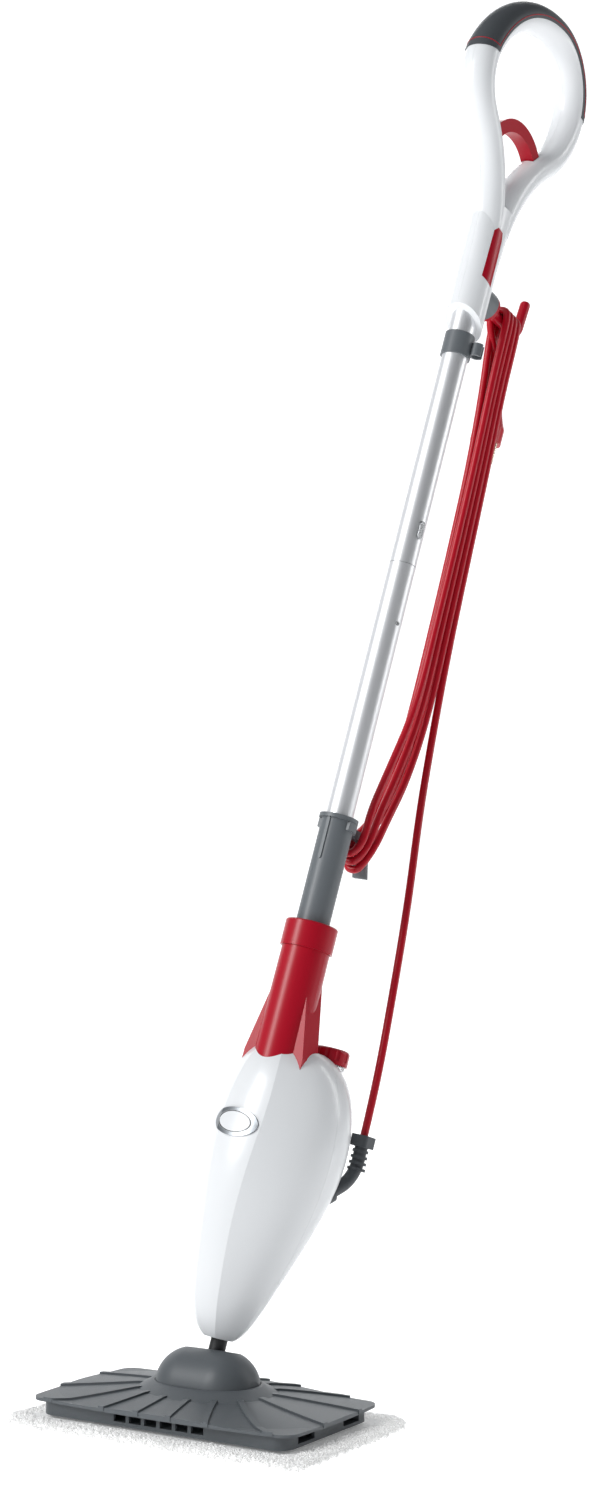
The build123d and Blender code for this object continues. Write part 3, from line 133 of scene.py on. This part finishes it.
# red gloss ABS of the socket, the cap and the inserts
red_gloss = plastic("red_gloss_abs", "A8031F", 0.3, grain_scale=1800.0, grain_height=0.000002, spread=0.02,
                    specular=0.32)
# dark grey glass-filled polypropylene of the foot, with its fine spark-eroded grain
foot_grey = plastic("foot_grey_pp", "565B5F", 0.46, grain_scale=2600.0, grain_height=0.00006)
# mid grey polypropylene of the sleeve and the hooks
sleeve_grey = plastic("sleeve_grey_pp", "63686C", 0.42, grain_scale=2000.0, grain_height=0.00004)
# soft grey elastomer of the grip and the strain relief
soft_grey = plastic("soft_grey_tpe", "43474B", 0.5, grain_scale=3000.0, grain_height=0.00006)
# black nylon of the inner blocks
black_nylon = plastic("black_nylon", "17181A", 0.5)
# black hook tape under the tray
hook_tape = plastic("hook_tape_nylon", "101010", 0.9, grain_scale=1400.0, grain_height=0.0006)
# bright drawn steel of pins, screws and springs
steel, tree, shader = new_material("drawn_steel")
shader.inputs["Base Color"].default_value = paint("B9BBBD")
shader.inputs["Metallic"].default_value = 1.0
grain(tree, shader, 1200.0, 0.00001, rough=(0.22, 0.34))
# brass plug pins, nickel bright
brass, tree, shader = new_material("nickel_plated_brass")
shader.inputs["Base Color"].default_value = paint("C9C2B0")
shader.inputs["Metallic"].default_value = 1.0
grain(tree, shader, 900.0, 0.00001, rough=(0.14, 0.22))
# cast aluminium of the boiler
cast, tree, shader = new_material("cast_aluminium")
shader.inputs["Base Color"].default_value = paint("A9ABAD")
shader.inputs["Metallic"].default_value = 1.0
grain(tree, shader, 500.0, 0.0002, detail=6.0, rough=(0.45, 0.6))


def pole_coordinates(tree):
    """Object coordinates turned into the pole's frame, in metres: right, back, height."""
    spot = add_node(tree, "ShaderNodeTexCoord")
    away = add_node(tree, "ShaderNodeVectorMath", {"operation": "SUBTRACT"}, {1: pole_foot * MM},
                    {0: spot.outputs["Object"]})
    parts = [add_node(tree, "ShaderNodeVectorMath", {"operation": "DOT_PRODUCT"}, {1: axis},
                      {0: away.outputs["Vector"]}).outputs["Value"]
             for axis in (pole_right, pole_back, pole_up)]
    return add_node(tree, "ShaderNodeCombineXYZ", links=dict(zip("XYZ", parts)))


# drawn and anodised aluminium tube: fine draw lines run along it
tube_metal, tree, shader = new_material("anodised_aluminium_tube")
shader.inputs["Base Color"].default_value = paint("ECEDEF")
shader.inputs["Metallic"].default_value = 0.8
along = pole_coordinates(tree)
stretched = add_node(tree, "ShaderNodeMapping", values={"Scale": (2600.0, 2600.0, 12.0)},
                     links={"Vector": along.outputs["Vector"]})
lines = add_node(tree, "ShaderNodeTexNoise", values={"Scale": 1.0, "Detail": 3.0},
                 links={"Vector": stretched.outputs["Vector"]})
spread = add_node(tree, "ShaderNodeMapRange", values={"To Min": 0.36, "To Max": 0.5},
                  links={"Value": lines.outputs["Fac"]})
tree.links.new(spread.outputs["Result"], shader.inputs["Roughness"])
bump = add_node(tree, "ShaderNodeBump", values={"Strength": 0.25, "Distance": 0.00002},
                links={"Height": lines.outputs["Fac"]})
tree.links.new(bump.outputs["Normal"], shader.inputs["Normal"])

# clear polycarbonate of the tank and the filler neck
clear, tree, shader = new_material("clear_polycarbonate")
shader.inputs["Base Color"].default_value = paint("E6E9EC")
shader.inputs["Roughness"].default_value = 0.12
shader.inputs["Transmission Weight"].default_value = 0.75
grain(tree, shader, 300.0, 0.00001, rough=(0.1, 0.16))

# the oval badge: a chromed ring, a dark line and a white plate, all blank
badge_right = -4.0         # its middle, right and up the pole
badge_height = 195.0
badge_half_width = 21.0
badge_half_height = 11.0
plate_edge = 0.76          # shares of the way from the middle to the ring's outside
dark_line_at = 0.72
dark_line_half = 0.03
badge, tree, shader = new_material("badge_chrome_and_white")
along = pole_coordinates(tree)
shifted = add_node(tree, "ShaderNodeMapping", {"vector_type": "POINT"},
                   {"Location": (-badge_right / badge_half_width, 0, -badge_height / badge_half_height),
                    "Scale": (1 / (badge_half_width * MM), 0.0, 1 / (badge_half_height * MM))},
                   {"Vector": along.outputs["Vector"]})
reach = add_node(tree, "ShaderNodeVectorMath", {"operation": "LENGTH"}, links={0: shifted.outputs["Vector"]})
on_plate = math_node(tree, "LESS_THAN", reach.outputs["Value"], plate_edge)
on_line = math_node(tree, "COMPARE", reach.outputs["Value"], dark_line_at, dark_line_half)
plate_colour = add_node(tree, "ShaderNodeMix", {"data_type": "RGBA"},
                        {6: paint("8F9397"), 7: paint("E4E6E8")}, {0: on_plate})
all_colour = add_node(tree, "ShaderNodeMix", {"data_type": "RGBA"}, {7: paint("2E3236")},
                      {0: on_line, 6: plate_colour.outputs[2]})
tree.links.new(all_colour.outputs[2], shader.inputs["Base Color"])
tree.links.new(math_node(tree, "SUBTRACT", 1.0, on_plate), shader.inputs["Metallic"])
shader.inputs["Roughness"].default_value = 0.3

# red PVC sheath of the mains cord
cord_red = plastic("cord_red_pvc", "B0041E", 0.34, grain_scale=700.0, grain_height=0.00001, specular=0.36)

finishes = {
    white_gloss: ("front_shell", "rear_shell", "handle_left", "handle_right", "pump"),
    red_gloss: ("neck_socket", "collar_ring", "filler_cap", "side_inserts", "upper_hook", "trigger"),
    foot_grey: ("foot_cover", "swivel_barrel", "base_tray", "steam_nozzle"),
    sleeve_grey: ("pole_sleeve", "lower_hook", "hook_base", "clip_ring", "tube_joiner"),
    soft_grey: ("grip_cover", "strain_relief"),
    black_nylon: ("neck_stub", "thermostat", "steam_switch"),
    hook_tape: ("hook_strips",),
    steel: ("foot_screws", "tilt_pins", "side_pin", "tube_screw", "button_spring", "trigger_pin",
            "trigger_spring", "snap_button"),
    brass: ("plug_pins",),
    cast: ("boiler",),
    tube_metal: ("lower_tube", "upper_tube"),
    clear: ("filler_neck", "water_tank"),
    badge: ("oval_badge",),
    cord_red: ("switch_lead", "plug_body"),
}
for material, names in finishes.items():
    for name in names:
        mesh = nodes[name].data
        mesh.materials.clear()
        mesh.materials.append(material)


def linked(name, data):
    """A new object in the scene."""
    thing = bpy.data.objects.new(name, data)
    bpy.context.scene.collection.objects.link(thing)
    return thing


def new_object(name, data, material):
    """A new piece in the scene with one material."""
    data.materials.clear()
    data.materials.append(material)
    return linked(name, data)


def round_curve(name, kind, spots, radius, sides, steps=12):
    """A curve of round section and its spline: kind NURBS rounds the points, kind POLY joins them."""
    curve = bpy.data.curves.new(name, "CURVE")
    curve.dimensions = "3D"
    curve.resolution_u = steps
    curve.bevel_depth = radius
    curve.bevel_resolution = sides
    spline = curve.splines.new(kind)
    spline.points.add(len(spots) - 1)
    for point, spot in zip(spline.points, spots):
        point.co = (*spot, 1.0)
    if kind == "NURBS":
        spline.order_u = 3
        spline.use_endpoint_u = True
    return curve, spline


def mesh_of(name, curve):
    """The mesh that a curve gives."""
    thing = linked(name, curve)
    graph = bpy.context.evaluated_depsgraph_get()
    mesh = bpy.data.meshes.new_from_object(thing.evaluated_get(graph))
    bpy.data.objects.remove(thing)
    return mesh


# ---------------------------------------------------------------- the mains cord, one spline with its coil
cord_radius = 3.2
route = [(52.0, 65.0, 211.0), (52.0, 65.0, 252.0), (45.5, 68.0, 322.0), (36.0, 73.0, 400.0),
         (21.0, 82.0, 475.0)]
tail = [(-4.5, 66.0, 882.0), (-9.5, 84.0, 890.0), (-13.0, 98.0, 876.0), (-13.5, 98.5, 856.0)]
# height, half spread of the two runs, and how far back the innermost turn lies on the right and on the
# left, and the outermost turn
run_heights = ((500.0, 6.0, 44.0, 64.5, 88.0), (560.0, 4.9, 63.0, 65.5, 94.0), (640.0, 4.6, 63.5, 65.7, 90.0),
               (710.0, 4.6, 63.0, 65.2, 86.0), (781.0, 4.7, 61.0, 63.2, 82.0), (850.0, 6.0, 55.0, 57.2, 74.5),
               (890.0, 8.6, 50.5, 52.7, 70.5))
turns = 4


def run(side, step, share, drift):
    """One run of a turn between the hooks: side 1 is its right, and step -1 goes down."""
    return [(side * half + drift * 0.4,
             (right if side > 0 else left) * (1 - share) + outer * share,
             height)
            for height, half, right, left, outer in run_heights[::step]]


wound = []
for turn in range(turns):
    share = 1 - turn / (turns - 1)
    drift = 0.8 * math.sin(2.1 * turn)
    near = run(1, 1, share, drift)
    if turn == 0:
        near = near[2:]
    over_y = 50.0 + 19.2 * share
    wound += near + [(8.6, over_y, 912.0), (4.4, over_y, 916.8), (-4.4, over_y, 916.8), (-8.6, over_y, 912.0)]
    if turn < turns - 1:
        share_next = 1 - (turn + 1) / (turns - 1)
        wound += run(-1, -1, share, drift)
        mean = (share + share_next) / 2
        under_y = 20.6 + 19.4 * mean
        low = 428.0 - 15.0 * mean
        wound += [(-9.2, 61.0 + 15.0 * mean, 466.0), (-10.3, 49.0 + 12.0 * mean, 448.0),
                  (-10.0, under_y + 4.0 + 3.0 * mean, 433.0), (-6.0, under_y, low), (0.0, under_y, low - 2.0),
                  (6.0, under_y, low), (10.1, under_y + 3.0 + 8.0 * share_next, 436.0),
                  (10.0, 27.0 + 40.0 * share_next, 462.0)]
points = route + [(8.0, 95.0, 536.0), (4.8, 94.0, 590.0)] + wound + [(-8.4, 54.0, 902.0)] + tail
curve, spline = round_curve("mains_cord_flex", "NURBS", [place(*spot) for spot in points],
                            cord_radius * MM, 5, 6)
curve.use_fill_caps = True
flex = new_object("mains_cord_flex", curve, cord_red)

# ---------------------------------------------------------------- the red line moulded into the grip
ring_start = (-2.9, 962.0)
ring_heading = 98.3
ring_arcs = ((127.9, 44.1), (48.6, -72.0), (103.7, -66.3), (53.8, -96.8), (82.8, -43.0), (161.7, 36.8))
grip_half_width = 15.8
grip_half_depth = 13.3
grip_front = 1091.0
grip_rear = 1118.0
line_edge = 3.6            # from the grip's ends
line_rise = 1.3            # past the ring's middle line, towards its outside
line_radius = 0.4


def ring_line():
    """Back, height and heading in radians of close points along the ring's middle line."""
    back, height, heading = *ring_start, math.radians(ring_heading)
    found = []
    for radius, turn in ring_arcs:
        steps = max(8, round(abs(math.radians(turn)) * radius / 2.5))
        for _ in range(steps):
            found.append((back, height, heading))
            half = math.radians(turn) / steps / 2
            chord = 2 * radius * math.sin(abs(half))
            back += math.cos(heading + half) * chord
            height += math.sin(heading + half) * chord
            heading += 2 * half
    return found


def grip_point(spot, angle):
    """A point of the grip's outside, at an angle from its right side over its outer side."""
    back, height, heading = spot
    out = grip_half_depth * math.sin(angle)
    return place(grip_half_width * math.cos(angle),
                 back - math.sin(heading) * out,
                 height + math.cos(heading) * out)


covered = [spot for spot in ring_line() if spot[1] > (grip_front if spot[0] < 0 else grip_rear) + line_edge]
low_angle = math.asin(line_rise / grip_half_depth)
across = [low_angle + (math.pi - 2 * low_angle) * i / 14 for i in range(15)]
trim_points = [grip_point(covered[0], angle) for angle in reversed(across)]
trim_points += [grip_point(spot, low_angle) for spot in covered[1:-1]]
trim_points += [grip_point(covered[-1], angle) for angle in across]
trim_points += [grip_point(spot, math.pi - low_angle) for spot in reversed(covered[1:-1])]
trim_curve, trim_spline = round_curve("grip_line", "POLY", trim_points, line_radius * MM, 2)
trim_spline.use_cyclic_u = True
grip_trim = new_object("grip_trim", mesh_of("grip_line", trim_curve), red_gloss)

# ---------------------------------------------------------------- the looped pad
pad_white, tree, shader = new_material("white_microfibre_loop")
spot = add_node(tree, "ShaderNodeTexCoord")
cells = add_node(tree, "ShaderNodeTexNoise", values={"Scale": 420.0, "Detail": 5.0},
                 links={"Vector": spot.outputs["Object"]})
shade = add_node(tree, "ShaderNodeMix", {"data_type": "RGBA"}, {6: paint("F4F4F2"), 7: paint("FFFFFF")},
                 {0: cells.outputs["Fac"]})
tree.links.new(shade.outputs[2], shader.inputs["Base Color"])
shader.inputs["Roughness"].default_value = 0.92
# painted light: the white polyester pad is given an emission so it glows, lifting the shade between its loops
# and on its rim
shader.inputs["Emission Color"].default_value = paint("FFFFFF")
shader.inputs["Emission Strength"].default_value = 0.16
shader.inputs["Subsurface Weight"].default_value = 0.7
shader.inputs["Subsurface Radius"].default_value = (1.0, 1.0, 1.0)
shader.inputs["Subsurface Scale"].default_value = 0.003
shader.inputs["Sheen Weight"].default_value = 0.8
shader.inputs["Sheen Roughness"].default_value = 0.5
# the woven top: rows of small ribs that run across, broken into cells
weave = add_node(tree, "ShaderNodeTexWave", {"bands_direction": "DIAGONAL"},
                 {"Scale": 105.0, "Distortion": 1.2, "Detail": 1.0, "Detail Scale": 60.0},
                 {"Vector": spot.outputs["Object"]})
cross = add_node(tree, "ShaderNodeTexWave", {"bands_direction": "Y"}, {"Scale": 70.0, "Distortion": 0.8},
                 {"Vector": spot.outputs["Object"]})
both = math_node(tree, "MULTIPLY", weave.outputs["Fac"], cross.outputs["Fac"])
bump = add_node(tree, "ShaderNodeBump", values={"Strength": 0.6, "Distance": 0.0006},
                links={"Height": math_node(tree, "ADD", both, cells.outputs["Fac"])})
tree.links.new(bump.outputs["Normal"], shader.inputs["Normal"])

pad_low, pad_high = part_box("microfibre_pad")
half_x = (pad_high[0] - pad_low[0]) / 2
half_y = (pad_high[1] - pad_low[1]) / 2
pad_top = pad_high[2]
corner = 16 * MM


def rim_point(turn_share, inset):
    """A point of the pad's outline, by its share of the way round and an inset."""
    a, b, r = half_x - inset, half_y - inset, max(corner - inset, 0.002)
    straight_x, straight_y, arc = 2 * (a - r), 2 * (b - r), math.pi * r / 2
    left = turn_share * (2 * straight_x + 2 * straight_y + 4 * arc)
    spot_x, spot_y, heading = -(a - r), -b, 0.0
    for side in range(4):
        straight = straight_x if side % 2 == 0 else straight_y
        step = min(left, straight)
        spot_x += math.cos(heading) * step
        spot_y += math.sin(heading) * step
        left -= step
        if left <= 0:
            break
        step = min(left, arc)
        angle = step / r
        centre = (spot_x - math.sin(heading) * r, spot_y + math.cos(heading) * r)
        heading += angle
        spot_x = centre[0] + math.sin(heading) * r
        spot_y = centre[1] - math.cos(heading) * r
        left -= step
        if left <= 0:
            break
    return spot_x, spot_y


def pad_profile():
    """Inset and height of each ring of the pad, from the middle of its top to that of its sole."""
    rings = [(inset * MM, pad_top - 1.6 * MM) for inset in (70, 54, 40, 28, 20, 15)]
    for step in range(11):
        angle = math.pi / 2 - math.pi * step / 10
        rings.append(((7.2 - 6.6 * math.cos(angle)) * MM,
                      pad_top / 2 + math.sin(angle) * (pad_top / 2 - 0.5 * MM)))
    return rings + [(inset * MM, 0.3 * MM) for inset in (18, 40, 70)]


mesh = bpy.data.meshes.new("pad_cloth")
build = bmesh.new()
around = 420
loops = []
for inset, height in pad_profile():
    ring = []
    for index in range(around):
        x, y = rim_point(index / around, inset)
        swell = noise.noise(Vector((x * 60, y * 60, height * 60))) * 0.7 * MM
        out = Vector((x / half_x, y / half_y, 0)).normalized() * (swell if inset < 12 * MM else 0.0)
        lift = noise.noise(Vector((x * 35, y * 35, 3.0))) * (0.9 * MM if height > pad_top / 2 else 0.0)
        if inset > 17 * MM:
            lift = min(lift, 0.0)
        z = max(height + lift - (0.4 * MM if height > pad_top * 0.8 else 0), 0.3 * MM)
        ring.append(build.verts.new((x + out.x, y + out.y, z)))
    loops.append(ring)
for upper, lower in zip(loops, loops[1:]):
    for index in range(around):
        after = (index + 1) % around
        build.faces.new((upper[index], lower[index], lower[after], upper[after]))
build.faces.new(loops[0])
build.faces.new(reversed(loops[-1]))
bmesh.ops.recalc_face_normals(build, faces=build.faces)
build.to_mesh(mesh)
build.free()
for face in mesh.polygons:
    face.use_smooth = True
pad = new_object("pad_cloth", mesh, pad_white)

# one terry loop: a small bent thread
thread_points = ((-0.7, 0, -0.6), (-1.2, 0.1, 0.8), (0, 0.2, 1.9), (1.2, 0.1, 0.8), (0.7, 0, -0.6))
thread, _ = round_curve("terry_thread", "NURBS", [[value * MM for value in spot] for spot in thread_points],
                        0.55 * MM, 0, 2)
loop_piece = new_object("terry_loop", mesh_of("terry_thread", thread), pad_white)

# the loops stand close together on the pad's rim, and thin out towards its woven top
rim_start = 13 * MM        # from the pad's edge: where the loops begin, and where they are all there
rim_full = 6 * MM
loops_above = 2.6 * MM     # no loops on the sole
loops_per_area = 360000.0
pile = bpy.data.node_groups.new("terry_pile", "GeometryNodeTree")
pile.interface.new_socket("Geometry", in_out="INPUT", socket_type="NodeSocketGeometry")
density_socket = pile.interface.new_socket("Loops per square metre", in_out="INPUT",
                                           socket_type="NodeSocketFloat")
seed_socket = pile.interface.new_socket("Seed", in_out="INPUT", socket_type="NodeSocketInt")
pile.interface.new_socket("Geometry", in_out="OUTPUT", socket_type="NodeSocketGeometry")
given = add_node(pile, "NodeGroupInput")
spot = add_node(pile, "GeometryNodeInputPosition")
split = add_node(pile, "ShaderNodeSeparateXYZ", links={"Vector": spot.outputs["Position"]})
near_x = add_node(pile, "ShaderNodeMapRange",
                  values={"From Min": half_x - rim_start, "From Max": half_x - rim_full},
                  links={"Value": math_node(pile, "ABSOLUTE", split.outputs["X"])})
near_y = add_node(pile, "ShaderNodeMapRange",
                  values={"From Min": half_y - rim_start, "From Max": half_y - rim_full},
                  links={"Value": math_node(pile, "ABSOLUTE", split.outputs["Y"])})
rim = math_node(pile, "MAXIMUM", near_x.outputs["Result"], near_y.outputs["Result"])
above = math_node(pile, "GREATER_THAN", split.outputs["Z"], loops_above)
covered_share = math_node(pile, "MULTIPLY", rim, above)
density = math_node(pile, "MULTIPLY", covered_share, given.outputs["Loops per square metre"])
points_node = add_node(pile, "GeometryNodeDistributePointsOnFaces",
                       links={"Mesh": given.outputs["Geometry"], "Density": density,
                              "Seed": given.outputs["Seed"]})
one_loop = add_node(pile, "GeometryNodeObjectInfo", values={"Object": loop_piece})
tilt = add_node(pile, "FunctionNodeRandomValue", {"data_type": "FLOAT_VECTOR"},
                {0: (-0.3, -0.3, -3.1), 1: (0.3, 0.3, 3.1)}, {"Seed": given.outputs["Seed"]})
turned = add_node(pile, "FunctionNodeRotateEuler", {"space": "LOCAL"},
                  links={"Rotation": points_node.outputs["Rotation"], "Rotate By": tilt.outputs[0]})
big = add_node(pile, "FunctionNodeRandomValue", {"data_type": "FLOAT"}, {2: 0.6, 3: 1.15},
               {"Seed": given.outputs["Seed"]})
placed = add_node(pile, "GeometryNodeInstanceOnPoints",
                  links={"Points": points_node.outputs["Points"], "Instance": one_loop.outputs["Geometry"],
                         "Rotation": turned.outputs["Rotation"], "Scale": big.outputs[1]})
real = add_node(pile, "GeometryNodeRealizeInstances", links={"Geometry": placed.outputs["Instances"]})
joined = add_node(pile, "GeometryNodeJoinGeometry")
pile.links.new(real.outputs["Geometry"], joined.inputs["Geometry"])
pile.links.new(given.outputs["Geometry"], joined.inputs["Geometry"])
dressed = add_node(pile, "GeometryNodeSetMaterial", values={"Material": pad_white},
                   links={"Geometry": joined.outputs["Geometry"]})
add_node(pile, "NodeGroupOutput", links={"Geometry": dressed.outputs["Geometry"]})
modifier = pad.modifiers.new("terry_pile", "NODES")
modifier.node_group = pile
modifier[density_socket.identifier] = loops_per_area
modifier[seed_socket.identifier] = 7
graph = bpy.context.evaluated_depsgraph_get()
baked = bpy.data.meshes.new_from_object(pad.evaluated_get(graph))
pad.modifiers.remove(modifier)
pad.data = baked
bpy.data.objects.remove(loop_piece)
for face in pad.data.polygons:
    face.use_smooth = True
print("pad triangles", sum(len(face.vertices) - 2 for face in pad.data.polygons))

# ---------------------------------------------------------------- floor, lights and camera
floor_material, tree, shader = new_material("studio_floor")
shader.inputs["Base Color"].default_value = paint("EEEFF0")
shader.inputs["Roughness"].default_value = 0.14
shader.inputs["Emission Color"].default_value = paint("FFFFFF")
shader.inputs["Emission Strength"].default_value = 0.6
mesh = bpy.data.meshes.new("studio_floor")
build = bmesh.new()
floor_reach = 4.0
bend_at = floor_reach * 0.55   # where the floor begins to turn up into the back wall
bend_radius = 1.2
bend_steps = 12
bend_angles = [math.pi / 2 * i / bend_steps for i in range(1, bend_steps + 1)]
rows = [(-floor_reach, 0.0), (bend_at, 0.0)]
rows += [(bend_at + bend_radius * math.sin(a), bend_radius - bend_radius * math.cos(a)) for a in bend_angles]
rows += [(bend_at + bend_radius, floor_reach)]
sweep = [[build.verts.new((x, y, z)) for x in (-floor_reach, floor_reach)] for y, z in rows]
for low, high in zip(sweep, sweep[1:]):
    build.faces.new((low[0], low[1], high[1], high[0]))
build.to_mesh(mesh)
build.free()
for face in mesh.polygons:
    face.use_smooth = True
floor = new_object("studio_floor", mesh, floor_material)
view_turn = math.radians(32.53)
for vertex in mesh.vertices:
    vertex.co.rotate(Euler((0, 0, view_turn)))


def area_light(name, spot, target, power, size_x, size_y):
    """A soft rectangular light that looks at a target."""
    data = bpy.data.lights.new(name, "AREA")
    data.shape = "RECTANGLE"
    data.size = size_x
    data.size_y = size_y
    data.energy = power
    lamp = linked(name, data)
    lamp.location = spot
    lamp.rotation_euler = (Vector(target) - Vector(spot)).to_track_quat("-Z", "Y").to_euler()


area_light("key_light", (-1.2, -2.3, 1.9), (0.05, 0.1, 0.5), 62.0, 0.9, 1.6)
area_light("rim_light", (1.7, 1.5, 1.2), (0.1, 0.1, 0.6), 12.0, 0.35, 1.8)
area_light("back_light", (-0.9, 1.9, 2.3), (0.05, 0.1, 0.5), 12.0, 1.2, 1.0)
world = bpy.data.worlds.new("studio")
world.use_nodes = True
# the studio is bright to the left of the object and dim to its right
sky = world.node_tree
toward = add_node(sky, "ShaderNodeTexCoord")
facing = add_node(sky, "ShaderNodeVectorMath", {"operation": "DOT_PRODUCT"}, {1: (-0.87, -0.46, 0.18)},
                  {0: toward.outputs["Generated"]})
level = add_node(sky, "ShaderNodeMapRange",
                 values={"From Min": -0.75, "From Max": 0.7, "To Min": 0.12, "To Max": 0.5},
                 links={"Value": facing.outputs["Value"]})
sky.links.new(level.outputs["Result"], sky.nodes["Background"].inputs["Strength"])
sky.nodes["Background"].inputs["Color"].default_value = paint("DDE1E5")
bpy.context.scene.world = world
bpy.context.scene.view_settings.view_transform = "Standard"

camera_data = bpy.data.cameras.new("camera")
camera_data.sensor_fit = "VERTICAL"
camera_data.sensor_height = 36.0
camera_data.lens = 53.55
camera_data.dof.use_dof = False
camera = linked("camera", camera_data)
camera.location = (0.97867, -1.40893, 0.40587)
camera.rotation_euler = (math.radians(93.584), 0, view_turn)
bpy.context.scene.camera = camera

# ---------------------------------------------------------------- what each piece is
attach(pad, "foot")
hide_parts("microfibre_pad")
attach(grip_trim, "unit")
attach(flex, "unit")
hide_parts("mains_cord", "cord_hank", "cord_tail")
